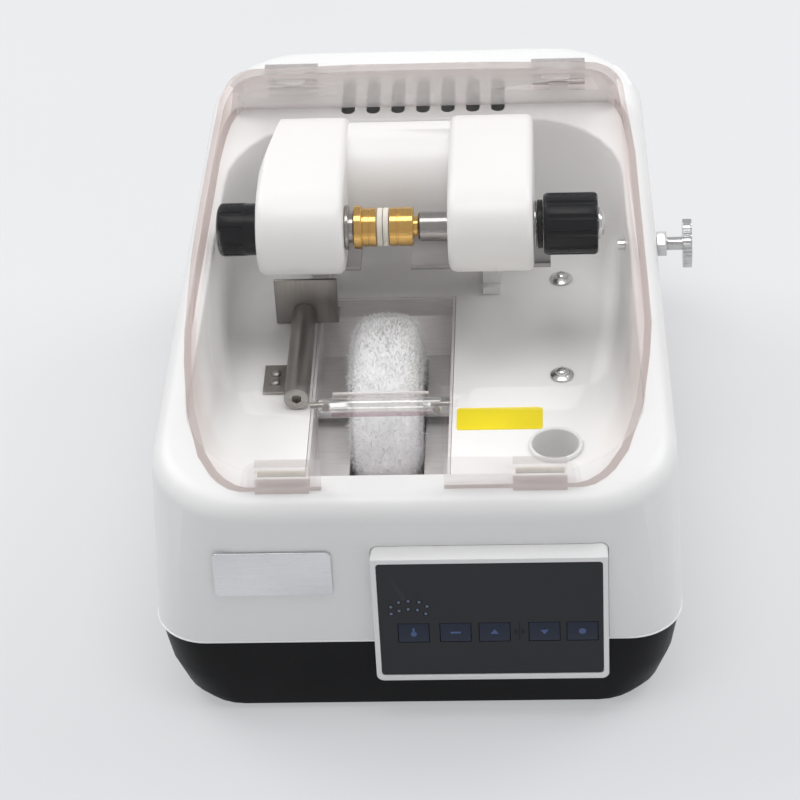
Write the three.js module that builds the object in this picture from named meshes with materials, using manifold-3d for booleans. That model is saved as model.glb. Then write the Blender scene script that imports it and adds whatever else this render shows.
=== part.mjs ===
// Bench lens polishing machine, as an assembly of separate pieces, in millimetres with +Z up.
// The machine is drawn with x = 0 on its middle, y = 0 at its mid depth and z = 0 on the bench.
import * as THREE from 'three';
import { mergeVertices } from 'three/addons/utils/BufferGeometryUtils.js';
import Module from 'manifold-3d';

const wasm = await Module();
wasm.setup();

// Overall body
const bodyFrontWidth = 280;
const bodyTaper = 30;
const bodyRearWidth = bodyFrontWidth - bodyTaper;
const bodyDepth = 400;
const seamHeight = 49;
const deckFrontHeight = 139;
const deckRearHeight = 173.5;
const shellWall = 3;
const shellDraft = 0.7;
const seamCornerRadius = 28;
const deckCornerRadius = 51;
const deckEdgeRadius = 11;
const fitGap = 0.3;
const runGap = 0.6;

// Places and lengths across follow the front width, and those along follow the depth
const widthUnitCount = 280;
const depthUnitCount = 400;
const across = bodyFrontWidth / widthUnitCount;
const along = bodyDepth / depthUnitCount;

// Tub and feet
const tubFloorHeight = 3.5;
const tubBilgeHeight = 9;
const tubFlankHeight = 26;
const tubFloorInset = 17;
const tubBilgeInset = 11.5;
const tubFlankInset = 5;
const tubEndShare = 0.2;
const deckEndShare = 0.42;
const tubLipInset = 1;
const footRadius = 11;
const footEdgeInset = 38;
const footEndInset = 40;
const footChamfer = 1.5;

// Sunk tray
const rimInset = 15;
const rimFront = 23.4 * along;
const rimRear = 74 * along;
const rimCornerRadius = 58;
const rimLipRadius = 2;
const trayFloorHeight = 85;
const trayFillet = 12;
const trayDraft = 1.5;
const trayRearSweep = 31 * along;
const ventCount = 7;
const ventWidth = 8 * across;
const ventPitch = 14.57 * across;
const ventLength = 34 * along;
const ventRear = 35 * along;
const ventMiddleX = -1.6 * across;
const rearSlotX = -74 * across;
const rearSlotWidth = 20 * across;
const rearSlotHeight = 4;
const rearSlotLevel = 156;

// Polishing wheel and its drive
const wheelX = -20.5 * across;
const wheelY = -22 * along;
const wheelZ = 68;
const wheelRadius = 54;
const wheelWidth = 33 * across;
const woolShoulder = 6 * across;
const woolShoulderShare = 0.3;
const wheelFlangeRadius = 24;
const wheelFlangeWidth = 2.5;
const spindleRadius = 6;
const slotLeft = -62.5 * across;
const slotRight = 16.5 * across;
const slotFront = -112 * along;
const slotRear = 62 * along;
const linerWall = 1.5;
const linerPanHeight = 57;
const linerSlopeHeight = 72;
const linerSlopeReach = 20;
const troughSideGap = 1.5;
const bearingBlockWidth = 11;
const bearingBlockDepth = 34;
const bearingBlockTopGap = 2;
const pulleyRadius = 9.5;
const pulleyWidth = 12;
const pulleyRim = 1.2;
const pulleyClearance = 12;
const beltThickness = 1.6;
const motorPulleyRadius = 7.5;
const motorY = 118 * along;
const motorZ = 46;
const motorRadius = 27;
const motorLength = 66;
const motorShaftRadius = 3;
const motorBoreDepth = 12;
const motorEndGap = 3;
const cradleWidth = 40;
const cradleDepth = 46;
const inletX = 40 * across;
const inletWidth = 30;
const inletHeight = 23;
const inletLevel = 66;
const inletDepth = 18;
const inletFlange = 5;
const inletFlangeThickness = 2;
const inletPinSide = 2;
const inletPinSpacing = 7;
const inletWall = 2.5;

// Front panel and plate
const panelLeft = -22 * across;
const panelRight = 100 * across;
const panelBottom = 28;
const panelTop = 110;
const panelTopRise = 3;
const panelProud = 7;
const panelDepth = 10.5;
const panelBezel = 2.7;
const panelBezelFoot = 3.4;
const panelCornerRadius = 4;
const panelLip = 1.4;
const overlaySink = 0.4;
const overlayThickness = 1.6;
const lipThickness = 2.4;
const keyWidth = 16.5 * across;
const keyHeight = 13;
const keyMiddleHeight = 60.4;
const keyMiddles = [-1.4, 20.4, 40.7, 66.6, 86.3].map((x) => x * across);
const keyFlange = 0.8;
const keyFlangeThickness = 1.4;
const boardThickness = 1.6;
const dotMiddles = [[-8.4, 81.3], [-3.4, 82.0], [2.2, 81.3], [-12.6, 78.2], [6.2, 78.4],
  [-8.4, 75.6], [-3.6, 76.6], [1.2, 76.0], [5.4, 73.4], [-12.6, 73.6]].map(([x, z]) => [x * across, z]);
const dotRadius = 0.9;
const dotClearance = 0.4;
const dotPlateMargin = 3;
const dotPlateThickness = 1.2;
const plateLeft = -103.9 * across;
const plateRight = -42.5 * across;
const plateBottom = 82.2;
const plateTop = 110.5;
const plateThickness = 0.8;
const plateCornerRadius = 3;

// Carriage with its chuck
const chuckY = 12 * along;
const chuckZ = 168;
const pivotY = 76 * along;
const pivotZ = 161;
const armLeftOuter = -89.5 * across;
const armLeftInner = -41.5 * across;
const armRightInner = 16 * across;
const armRightOuter = 63 * across;
const armNoseRadius = 26;
const armBottom = chuckZ - armNoseRadius;
const armRearRadius = 32;
const armEdgeRadius = 4;
const armTaper = 9 * across;
const armTaperStart = 30 * along;
const armTaperEnd = 85 * along;
const drumRadius = 30;
const coverWall = 2.5;
const framePlateThickness = 3;
const framePlateFront = 12 * along;
const framePlateRear = 100 * along;
const frameMargin = 1;
const frameTabReach = 9 * across;
const frameTabDepth = 16 * along;
const frameNotchLeft = -34 * across;
const frameNotchRight = -6 * across;
const frameNotchRear = 48 * along;
const earThickness = 3;
const earDepth = 24;
const earLeftX = -74 * across;
const earRightX = 49 * across;
const axleRadius = 5;
const axleOverhang = 4;
const pedestalThickness = 10;
const pedestalDepth = 16 * along;
const pedestalLeftX = -62 * across;
const pedestalRightX = 37 * across;
const pedestalFoot = 4;
const pedestalFootReach = 5 * along;
const pedestalSwing = 13;

// Left side of the chuck
const leftKnobEnd = -112.8 * across;
const leftKnobRadius = 14.75;
const leftKnobDome = 1.6;
const leftKnobChamfer = 1.5;
const fluteCount = 10;
const fluteRadius = 1.5;
const fluteShare = 0.7;
const knobBoreRadius = 4.3;
const leftShaftRadius = 8.5;
const thrustWasherThickness = 2 * across;
const thrustWasherRadius = 12.5;
const leftChuckStart = -36.5 * across;
const collarWidth = 5 * across;
const collarRadius = 12.2;
const padWidth = 7.8 * across;
const padRadius = 10.85;
const feltWidth = 3.1 * across;
const feltRadius = 10.6;
const spigotRadius = 4;
const spigotLength = 4 * across;

// Right side of the chuck
const rightPadWidth = 13.4 * across;
const neckRadius = 5.5;
const quillStart = -0.7 * across;
const quillEnd = 46 * across;
const quillRadius = 8.35;
const quillChamfer = 1;
const quillBoreStart = 17 * across;
const screwRodRadius = 4;
const screwRodStart = 30 * across;
const ringThickness = 1.3 * across;
const ringRadius = 13;
const stopCollarWidth = 3.3 * across;
const stopCollarRadius = 13.5;
const clampKnobWidth = 30 * across;
const clampKnobRadius = 17.2;
const clampKnobChamfer = 1.5;
const ribCount = 12;
const ribGrooveRadius = 2.2;
const ribGrooveShare = 0.92;
const endWasherThickness = 1.1 * across;
const endWasherRadius = 9;
const endScrewRadius = 7;
const endScrewHeight = 2.4;
const endScrewSlot = 1.2;

// Fittings in the tray
const stopPlateLeft = -86.5 * across;
const stopPlateRight = -50.5 * across;
const stopPlateY = 38 * along;
const stopPlateThickness = 2;
const stopPlateTop = 115.5;
const stopPlateFoot = 12;
const stopBoltX = -75 * across;
const stopBoltRadius = 4;
const stopBoltLength = 7;
const tubeX = -70 * across;
const tubeFront = -45.5 * along;
const tubeRadius = 7;
const tubeBore = 4.6;
const tubePlugHex = 3;
const tubePlugSocket = 5;
const clipLeft = -90 * across;
const clipFront = -31 * along;
const clipDepth = 25 * along;
const clipThickness = 2;
const clipScrewRadius = 3;
const clipScrewHeight = 1.8;
const floorScrewX = 77.3 * across;
const floorScrewYs = [-17, 77].map((y) => y * along);
const cupRadius = 6.75;
const cupHeight = 2;
const cupTopShare = 0.62;
const screwHeadRadius = 3.7;
const screwHeadHeight = 2.4;
const screwShankRadius = 1.8;
const screwShankLength = 12;
const crossLength = 4.4;
const crossWidth = 0.9;
const crossDepth = 1;
const portX = 73.4 * across;
const portY = -81.6 * along;
const portRadius = 15;
const portInner = 12.8;
const portSleeve = 14;
const portLip = 2.2;
const portDepth = 22;
const portFloor = 1.5;

// Thumb screw in the right wall
const thumbY = 33 * along;
const thumbZ = 139;
const thumbRodRadius = 3.75;
const thumbInner = 114 * across;
const thumbTipLength = 4 * across;
const thumbTipRadius = 3;
const thumbNutWidth = 5.5;
const thumbNutRadius = 7.6;
const thumbReach = 14.5;
const thumbDiscWidth = 5;
const thumbDiscRadius = 13.7;
const thumbKnurlCount = 36;
const thumbKnurlDepth = 0.5;

// Clear lid
const lidWall = 3;
const lidStations = [[-187, 88, 19.88], [-185, 94, 28.71], [-180, 100, 35.78], [-174, 104.5, 40.26],
  [-160, 111.5, 45.05], [-140, 116.5, 48.82], [-125, 120, 51.53], [-86, 124.5, 57.67],
  [-60, 126.2, 61.43], [-20, 125, 64.47], [20, 123.5, 64.03], [60, 122, 59.57],
  [90, 121, 53.99], [112, 119, 45.09], [125, 117, 35.97], [134, 114, 25.19],
  [140, 110, 11.68]]
  .map(([y, half, rise]) => [y * along, half * across, rise]);
const lidLeanShare = 0.16;
const lidShoulder = 20;
const lidShoulderShare = 0.55;
const lidCrown = 1.5;
const notchLeft = -46 * across;
const notchRight = 17 * across;
const notchRear = -157 * along;
const notchCornerRadius = 7;
const lidEarWidth = 4;
const lidEarDepth = 9;
const lidEarDrop = 5;
const lidEarRise = 4;
const flapAxisY = -170 * along;
const flapAxisRise = 40.41;
const flapBarrelRadius = 3.6;
const flapFront = -178 * along;
const flapRear = -159.5 * along;
const flapThickness = 3;
const flapEndInset = 7;
const flapPinRadius = 1.5;
const flapPinDepth = 5;
const lugMiddle = 66 * across;
const lugWidth = 27.7 * across;
const lugFront = -189 * along;
const lugRear = -178 * along;
const lugHeight = 13;
const hingeMiddle = 77.5 * across;
const hingeWidth = 31 * across;
const hingeAxisY = 148 * along;
const hingeAxisRise = 7.2;
const hingeRadius = 5;
const hingeBaseRear = 166 * along;
const hingeBaseHeight = 4;
const hingePinRadius = 1.5;
const hingeKnuckleShare = 0.34;
const hingeBoxRise = 17;
const hingeBoxGap = 2;

// Smoothness
const arcSteps = 7;
const roundSteps = 32;
const smallSteps = 16;

// Materials
const paint = (color, roughness, metalness) =>
  new THREE.MeshStandardMaterial({ color, roughness, metalness });
const whiteShell = paint(0xf0f0ee, 0.35, 0);
const blackTub = paint(0x1f2022, 0.5, 0);
const blackPlastic = paint(0x17181a, 0.45, 0);
const overlayDark = paint(0x30343a, 0.35, 0);
const rubberBlack = paint(0x1b1b1c, 0.9, 0);
const steel = paint(0xb9bcc0, 0.3, 1);
const darkSteel = paint(0x7c7874, 0.4, 1);
const brass = paint(0xc9993f, 0.3, 1);
const felt = paint(0xe9e4d8, 0.9, 0);
const wool = paint(0xf3f3f3, 1, 0);
const clear = new THREE.MeshStandardMaterial({
  color: 0xf3ece8, roughness: 0.08, metalness: 0, transparent: true, opacity: 0.35 });

// Solid helpers: every helper returns a manifold solid in the machine's frame
function solidOf(geometry) {
  const bare = geometry.clone();
  bare.deleteAttribute('normal');
  bare.deleteAttribute('uv');
  const merged = mergeVertices(bare);
  const corners = new Uint32Array(merged.index.array);
  const make = () => new wasm.Manifold(new wasm.Mesh({
    numProp: 3, vertProperties: new Float32Array(merged.attributes.position.array), triVerts: corners }));
  const solid = make();
  if (solid.volume() > 0) return solid;
  for (let i = 0; i < corners.length; i += 3) corners.subarray(i, i + 3).reverse();
  return make();
}

function geometryOf(solid) {
  const mesh = solid.getMesh();
  const geometry = new THREE.BufferGeometry();
  geometry.setAttribute('position', new THREE.BufferAttribute(new Float32Array(mesh.vertProperties), 3));
  geometry.setIndex(new THREE.BufferAttribute(new Uint32Array(mesh.triVerts), 1));
  const flat = geometry.toNonIndexed();
  flat.computeVertexNormals();
  return flat;
}

function block(x0, x1, y0, y1, z0, z1) {
  const geometry = new THREE.BoxGeometry(x1 - x0, y1 - y0, z1 - z0);
  geometry.translate((x0 + x1) / 2, (y0 + y1) / 2, (z0 + z1) / 2);
  return solidOf(geometry);
}

// Turns a shape drawn in its own plane so that it is pushed along one axis
function pushMatrix(axis, start, end) {
  const x = new THREE.Vector3(1, 0, 0);
  const y = new THREE.Vector3(0, 1, 0);
  const z = new THREE.Vector3(0, 0, 1);
  const matrix = new THREE.Matrix4();
  if (axis === 'x') return matrix.makeBasis(y, z, x).setPosition(start, 0, 0);
  if (axis === 'y') return matrix.makeBasis(x, z, y.clone().negate()).setPosition(0, end, 0);
  return matrix.makeBasis(x, y, z).setPosition(0, 0, start);
}

// A flat outline pushed along an axis: (y, z) for x, (x, z) for y and (x, y) for z
function prism(points, axis, start, end, edge = 0) {
  const shape = new THREE.Shape(points.map((p) => new THREE.Vector2(p[0], p[1])));
  const geometry = new THREE.ExtrudeGeometry(shape, {
    depth: end - start - 2 * edge, bevelEnabled: edge > 0, bevelThickness: edge,
    bevelSize: edge, bevelOffset: -edge, bevelSegments: 3, curveSegments: arcSteps });
  geometry.translate(0, 0, edge);
  geometry.applyMatrix4(pushMatrix(axis, start, end));
  return solidOf(geometry);
}

// A turned piece: the profile is a list of (radius, place along the axis)
function turned(axis, profile, first, second, steps = roundSteps) {
  const points = profile.map((p) => new THREE.Vector2(p[0], p[1]));
  const geometry = new THREE.LatheGeometry(points, steps);
  if (axis === 'x') geometry.rotateZ(-Math.PI / 2).translate(0, first, second);
  if (axis === 'y') geometry.translate(first, 0, second);
  if (axis === 'z') geometry.rotateX(Math.PI / 2).translate(first, second, 0);
  return solidOf(geometry);
}

function rod(axis, radius, start, end, first, second, steps = roundSteps) {
  return turned(axis, [[0, start], [radius, start], [radius, end], [0, end]], first, second, steps);
}

function arc(cx, cy, radius, from, to, steps = arcSteps) {
  const points = [];
  for (let i = 0; i <= steps; i += 1) {
    const angle = from + (to - from) * (i / steps);
    points.push([cx + radius * Math.cos(angle), cy + radius * Math.sin(angle)]);
  }
  return points;
}

function roundedBox(u0, u1, v0, v1, radius) {
  const quarter = Math.PI / 2;
  return [
    ...arc(u1 - radius, v0 + radius, radius, -quarter, 0),
    ...arc(u1 - radius, v1 - radius, radius, 0, quarter),
    ...arc(u0 + radius, v1 - radius, radius, quarter, 2 * quarter),
    ...arc(u0 + radius, v0 + radius, radius, 2 * quarter, 3 * quarter),
  ];
}

// Rings with equal counts, skinned in order and closed with a fan at each end
function loft(rings) {
  const count = rings[0].length;
  const positions = [];
  const index = [];
  const middle = (ring) => {
    const sum = [0, 0, 0];
    for (const p of ring) {
      for (let k = 0; k < 3; k += 1) sum[k] += p[k] / count;
    }
    return sum;
  };
  for (const ring of rings) {
    for (const p of ring) positions.push(p[0], p[1], p[2]);
  }
  positions.push(...middle(rings[0]), ...middle(rings[rings.length - 1]));
  const lowMiddle = rings.length * count;
  const last = (rings.length - 1) * count;
  for (let i = 0; i < count; i += 1) {
    const j = (i + 1) % count;
    for (let r = 0; r < rings.length - 1; r += 1) {
      const a = r * count;
      const b = a + count;
      index.push(a + i, a + j, b + j, a + i, b + j, b + i);
    }
    index.push(lowMiddle, j, i, lowMiddle + 1, last + i, last + j);
  }
  const geometry = new THREE.BufferGeometry();
  geometry.setAttribute('position', new THREE.BufferAttribute(new Float32Array(positions), 3));
  geometry.setIndex(index);
  return solidOf(geometry);
}

const root = new THREE.Group();
root.name = 'lens_polishing_machine';
function add(name, solid, material) {
  const mesh = new THREE.Mesh(geometryOf(solid), material);
  mesh.name = name;
  root.add(mesh);
}

// Body outline: a tapered plan under a deck that climbs to the rear
const bodyFront = -bodyDepth / 2;
const bodyRear = bodyDepth / 2;
const halfWidth = (y) => bodyFrontWidth / 2
  - ((bodyFrontWidth - bodyRearWidth) / 2) * ((y - bodyFront) / bodyDepth);
const deckHeight = (y) => deckFrontHeight
  + (deckRearHeight - deckFrontHeight) * ((y - bodyFront) / bodyDepth);

function planRing(front, rear, inset, radius, heightAt) {
  const quarter = Math.PI / 2;
  const frontX = halfWidth(front + radius) - inset - radius;
  const rearX = halfWidth(rear - radius) - inset - radius;
  const plan = [
    ...arc(frontX, front + radius, radius, -quarter, 0),
    ...arc(rearX, rear - radius, radius, 0, quarter),
    ...arc(-rearX, rear - radius, radius, quarter, 2 * quarter),
    ...arc(-frontX, front + radius, radius, 2 * quarter, 3 * quarter),
  ];
  return plan.map((p) => [p[0], p[1], heightAt(p[1])]);
}

// Upper shell: outer skin, inner hollow and the sunk tray in one moulding
function shellRings(inset, drop, bottom) {
  const rings = [];
  const low = () => bottom;
  const edge = deckEdgeRadius - inset;
  const ring = (extra, radius, heightAt) =>
    planRing(bodyFront + inset + extra, bodyRear - inset - extra, inset + extra, radius, heightAt);
  const wallTop = (y) => deckHeight(y) - drop - edge;
  rings.push(ring(0, seamCornerRadius - inset, low));
  const middleRadius = (seamCornerRadius + deckCornerRadius) / 2 - inset;
  rings.push(ring(shellDraft / 2, middleRadius, (y) => (bottom + wallTop(y)) / 2));
  for (let i = 0; i <= arcSteps; i += 1) {
    const angle = (Math.PI / 2) * (i / arcSteps);
    const inward = edge * (1 - Math.cos(angle));
    const rise = edge * Math.sin(angle);
    rings.push(ring(shellDraft + inward, deckCornerRadius - inset - inward * deckEndShare,
      (y) => wallTop(y) + rise));
  }
  return rings;
}

const rimFrontY = bodyFront + rimFront;
const rimRearY = bodyRear - rimRear;
function trayRings(wall, top) {
  const floor = trayFloorHeight - wall;
  const fillet = trayFillet + wall;
  const base = rimLipRadius + trayDraft - wall;
  const depth = deckHeight(rimRearY) - trayFloorHeight;
  const rearAt = (rise) => {
    const share = Math.min(1, Math.max(0, rise / depth));
    return rimRearY - rimLipRadius + wall - trayRearSweep * (1 - Math.sqrt(1 - (1 - share) ** 2));
  };
  const ring = (inset, rise, heightAt) => planRing(rimFrontY + inset, rearAt(rise),
    rimInset + inset, rimCornerRadius - inset, heightAt);
  const rings = [];
  for (let i = 0; i <= arcSteps; i += 1) {
    const angle = (Math.PI / 2) * (i / arcSteps);
    const inset = base + fillet * (1 - Math.sin(angle));
    const rise = fillet * (1 - Math.cos(angle));
    rings.push(ring(inset, rise, () => floor + rise));
  }
  const wallSteps = arcSteps + 1;
  for (let i = 1; i <= wallSteps; i += 1) {
    const share = i / wallSteps;
    const inset = base - trayDraft * share;
    const foot = floor + fillet;
    rings.push(ring(inset, fillet + (depth - fillet) * share,
      (y) => foot + (deckHeight(y) - rimLipRadius - foot) * share));
  }
  if (wall > 0) {
    rings.push(ring(rimLipRadius - wall, depth, (y) => deckHeight(y) - rimLipRadius / 2));
    return rings;
  }
  for (let i = 1; i <= arcSteps; i += 1) {
    const angle = (Math.PI / 2) * (i / arcSteps);
    const inset = rimLipRadius * Math.cos(angle);
    const rise = rimLipRadius * Math.sin(angle);
    const rear = rimRearY - inset;
    rings.push(planRing(rimFrontY + inset, rear, rimInset + inset, rimCornerRadius - inset,
      (y) => deckHeight(y) - rimLipRadius + rise));
  }
  rings.push(planRing(rimFrontY, rimRearY, rimInset, rimCornerRadius, (y) => deckHeight(y) + top));
  return rings;
}

let shell = loft(shellRings(0, 0, seamHeight + fitGap));
const hollow = loft(shellRings(shellWall, shellWall, seamHeight - shellWall));
const trayCut = loft(trayRings(0, deckEdgeRadius));
const trayBody = loft(trayRings(shellWall, 0));
shell = shell.subtract(hollow.subtract(trayBody)).subtract(trayCut);

const ventRearY = bodyRear - ventRear;
for (let i = 0; i < ventCount; i += 1) {
  const x = ventMiddleX + (i - (ventCount - 1) / 2) * ventPitch;
  const outline = roundedBox(x - ventWidth / 2, x + ventWidth / 2, ventRearY - ventLength, ventRearY,
    ventWidth / 2 - fitGap);
  shell = shell.subtract(prism(outline, 'z', deckFrontHeight, deckRearHeight + shellWall));
}
shell = shell.subtract(block(slotLeft, slotRight, slotFront, slotRear,
  trayFloorHeight - 2 * shellWall, trayFloorHeight + shellWall));
shell = shell.subtract(block(rearSlotX - rearSlotWidth / 2, rearSlotX + rearSlotWidth / 2,
  rimRearY - trayRearSweep / 2, rimRearY + 2 * shellWall, rearSlotLevel, rearSlotLevel + rearSlotHeight));
shell = shell.subtract(rod('z', portSleeve + fitGap, trayFloorHeight - 2 * shellWall,
  trayFloorHeight + shellWall, portX, portY));
for (const y of floorScrewYs) {
  shell = shell.subtract(rod('z', screwShankRadius + fitGap, trayFloorHeight - 2 * shellWall,
    trayFloorHeight + shellWall, floorScrewX, y, smallSteps));
}
shell = shell.subtract(rod('x', thumbRodRadius + fitGap, thumbInner - 2 * thumbTipLength,
  bodyFrontWidth / 2 + shellWall, thumbY, thumbZ, smallSteps));

// Front panel opening, cut in shell and tub alike
const panelFrontY = bodyFront - panelProud;
const panelRearY = panelFrontY + panelDepth;
const panelHole = prism(roundedBox(panelLeft - fitGap, panelRight + fitGap, panelBottom - fitGap,
  panelTop + panelTopRise + fitGap, panelCornerRadius + fitGap), 'y', panelFrontY,
  bodyFront + 3 * shellWall + tubFlankInset);
shell = shell.subtract(panelHole);

// Opening for the mains inlet in the rear wall
shell = shell.subtract(block(inletX - inletWidth / 2 - fitGap, inletX + inletWidth / 2 + fitGap,
  bodyRear - 2 * shellWall, bodyRear + shellWall, inletLevel - fitGap, inletLevel + inletHeight + fitGap));
add('upper_shell', shell, whiteShell);

// Lower tub
function tubRings(wall, top) {
  const levels = [[tubFloorHeight + wall, tubFloorInset], [tubBilgeHeight + wall, tubBilgeInset],
    [tubFlankHeight, tubFlankInset], [seamHeight, tubLipInset]];
  const rings = levels.map((level) => {
    const end = level[1] * tubEndShare + wall;
    return planRing(bodyFront + end, bodyRear - end, level[1] + wall, seamCornerRadius - wall,
      () => level[0]);
  });
  if (top > 0) {
    const end = tubLipInset * tubEndShare + wall;
    rings.push(planRing(bodyFront + end, bodyRear - end, tubLipInset + wall,
      seamCornerRadius - wall, () => seamHeight + top));
  }
  return rings;
}
const tub = loft(tubRings(0, 0)).subtract(loft(tubRings(shellWall, shellWall))).subtract(panelHole);
add('lower_tub', tub, blackTub);
const tubInside = tubFloorHeight + shellWall + fitGap;

// Feet
const footTop = tubFloorHeight - fitGap;
const footPlaces = [['front_left', -1, -1], ['front_right', 1, -1], ['rear_left', -1, 1],
  ['rear_right', 1, 1]];
for (const [name, sideX, sideY] of footPlaces) {
  const y = sideY * (bodyDepth / 2 - footEndInset);
  const x = sideX * (halfWidth(y) - footEdgeInset);
  add(`foot_${name}`, turned('z', [[0, 0], [footRadius - footChamfer, 0], [footRadius, footChamfer],
    [footRadius, footTop], [0, footTop]], x, y, smallSteps), rubberBlack);
}

// Panel housing with its sloped top edge
const housingSide = [[panelRearY, panelBottom], [panelRearY, panelTop + panelTopRise],
  [bodyFront, panelTop + panelTopRise], [panelFrontY, panelTop], [panelFrontY, panelBottom]];
const windowLeft = panelLeft + panelBezel;
const windowRight = panelRight - panelBezel;
const windowBottom = panelBottom + panelBezelFoot;
const windowTop = panelTop - panelBezel;
const windowRadius = panelCornerRadius / 2;
const overlayFrontY = panelFrontY + overlaySink;
const overlayRearY = overlayFrontY + overlayThickness;
const lipFrontY = overlayRearY + fitGap;
const lipRearY = lipFrontY + lipThickness;
let housing = prism(housingSide.reverse(), 'x', panelLeft, panelRight);
housing = housing.intersect(prism(roundedBox(panelLeft, panelRight, panelBottom,
  panelTop + panelTopRise, panelCornerRadius), 'y', panelFrontY, panelRearY));
housing = housing.subtract(prism(roundedBox(windowLeft, windowRight, windowBottom, windowTop,
  windowRadius), 'y', panelFrontY - panelProud, lipFrontY));
housing = housing.subtract(prism(roundedBox(windowLeft + panelLip, windowRight - panelLip,
  windowBottom + panelLip, windowTop - panelLip, windowRadius), 'y', panelFrontY, panelRearY));
housing = housing.subtract(prism(roundedBox(windowLeft, windowRight, windowBottom, windowTop,
  windowRadius), 'y', lipRearY, panelRearY + panelProud));
add('panel_housing', housing, whiteShell);

const overlayEdge = roundedBox(windowLeft + fitGap, windowRight - fitGap, windowBottom + fitGap,
  windowTop - fitGap, windowRadius);
let overlay = prism(overlayEdge, 'y', overlayFrontY, overlayRearY);
const keyLow = keyMiddleHeight - keyHeight / 2;
const keyHigh = keyMiddleHeight + keyHeight / 2;
for (const x of keyMiddles) {
  overlay = overlay.subtract(block(x - keyWidth / 2, x + keyWidth / 2, overlayFrontY - panelProud,
    overlayRearY + panelProud, keyLow, keyHigh));
}
for (const [x, z] of dotMiddles) {
  overlay = overlay.subtract(rod('y', dotRadius + dotClearance, overlayFrontY - panelProud,
    overlayRearY + panelProud, x, z, smallSteps));
}
add('panel_overlay', overlay, overlayDark);

// Keys with a flange behind the overlay
keyMiddles.forEach((x, i) => {
  const stem = block(x - keyWidth / 2 + fitGap, x + keyWidth / 2 - fitGap, overlayFrontY,
    lipFrontY + keyFlangeThickness, keyLow + fitGap, keyHigh - fitGap);
  const flange = block(x - keyWidth / 2 - keyFlange, x + keyWidth / 2 + keyFlange, lipFrontY,
    lipFrontY + keyFlangeThickness, keyLow - keyFlange, keyHigh + keyFlange);
  add(`key_${i + 1}`, stem.add(flange), overlayDark);
});

// Light dots on one plate behind the overlay
const dotXs = dotMiddles.map((p) => p[0]);
const dotZs = dotMiddles.map((p) => p[1]);
let dots = block(Math.min(...dotXs) - dotPlateMargin, Math.max(...dotXs) + dotPlateMargin, lipFrontY,
  lipFrontY + dotPlateThickness, Math.min(...dotZs) - dotPlateMargin, Math.max(...dotZs) + dotPlateMargin);
for (const [x, z] of dotMiddles) {
  dots = dots.add(rod('y', dotRadius, overlayFrontY, lipFrontY + dotPlateThickness, x, z, smallSteps));
}
add('panel_lights', dots, overlayDark);
const boardFrontY = lipRearY + fitGap;
add('key_board', prism(overlayEdge, 'y', boardFrontY, boardFrontY + boardThickness), darkSteel);

// Small metal plate on the front wall
add('front_plate', prism(roundedBox(plateLeft, plateRight, plateBottom, plateTop, plateCornerRadius),
  'y', bodyFront - plateThickness - fitGap / 2, bodyFront - fitGap / 2), steel);

// Steel liner of the wheel slot
const linerX0 = slotLeft + fitGap;
const linerX1 = slotRight - fitGap;
const linerTop = trayFloorHeight - fitGap;
function linerSide(wall, top) {
  const front = slotFront + fitGap + wall;
  const rear = slotRear - fitGap - wall;
  const foot = linerSlopeHeight + wall / 2;
  return [[front, top], [front, foot], [front + linerSlopeReach, linerPanHeight + wall],
    [rear - linerSlopeReach, linerPanHeight + wall], [rear, foot], [rear, top]];
}
const troughReach = wheelWidth / 2 + fitGap + wheelFlangeWidth + troughSideGap;
const troughRadius = wheelZ - tubInside;
function trough(wall) {
  return prism(arc(wheelY, wheelZ, troughRadius - wall, Math.PI, 2 * Math.PI, roundSteps), 'x',
    wheelX - troughReach - linerWall + wall, wheelX + troughReach + linerWall - wall);
}
let liner = prism(linerSide(0, linerTop), 'x', linerX0, linerX1).add(trough(0));
liner = liner.subtract(prism(linerSide(linerWall, linerTop + linerWall), 'x', linerX0 + linerWall,
  linerX1 - linerWall)).subtract(trough(linerWall));
liner = liner.subtract(rod('x', spindleRadius + runGap, slotLeft - linerWall, slotRight + linerWall,
  wheelY, wheelZ));
add('slot_liner', liner, steel);

// Wheel on its spindle between two bearing blocks
const blockTop = trayFloorHeight - shellWall - bearingBlockTopGap;
const blockLeft = slotLeft - runGap - bearingBlockWidth;
const blockRight = slotRight + runGap;
for (const [name, x] of [['left', blockLeft], ['right', blockRight]]) {
  const body = block(x, x + bearingBlockWidth, wheelY - bearingBlockDepth / 2,
    wheelY + bearingBlockDepth / 2, tubInside, blockTop);
  const bore = rod('x', spindleRadius + fitGap, x - fitGap, x + bearingBlockWidth + fitGap, wheelY, wheelZ);
  add(`bearing_block_${name}`, body.subtract(bore), darkSteel);
}
const pulleyStart = blockRight + bearingBlockWidth + pulleyClearance;
const pulleyEnd = pulleyStart + pulleyWidth;
function ringOnX(inner, outer, start, end, y, z, steps = roundSteps) {
  return turned('x', [[inner, start], [outer, start], [outer, end], [inner, end], [inner, start]],
    y, z, steps);
}
const wheelStart = wheelX - wheelWidth / 2;
const wheelEnd = wheelX + wheelWidth / 2;
const hubBore = spindleRadius + fitGap;
const woolBend = woolShoulder * woolShoulderShare;
add('wool_wheel', turned('x', [[hubBore, wheelStart], [wheelRadius - woolShoulder, wheelStart],
  [wheelRadius - woolBend, wheelStart + woolBend], [wheelRadius, wheelStart + woolShoulder],
  [wheelRadius, wheelEnd - woolShoulder], [wheelRadius - woolBend, wheelEnd - woolBend],
  [wheelRadius - woolShoulder, wheelEnd], [hubBore, wheelEnd], [hubBore, wheelStart]],
wheelY, wheelZ, roundSteps), wool);
let spindle = rod('x', spindleRadius, blockLeft - wheelFlangeWidth, pulleyEnd + wheelFlangeWidth,
  wheelY, wheelZ, smallSteps);
for (const x of [wheelStart - fitGap - wheelFlangeWidth, wheelEnd + fitGap]) {
  spindle = spindle.add(rod('x', wheelFlangeRadius, x, x + wheelFlangeWidth, wheelY, wheelZ));
}
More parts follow.
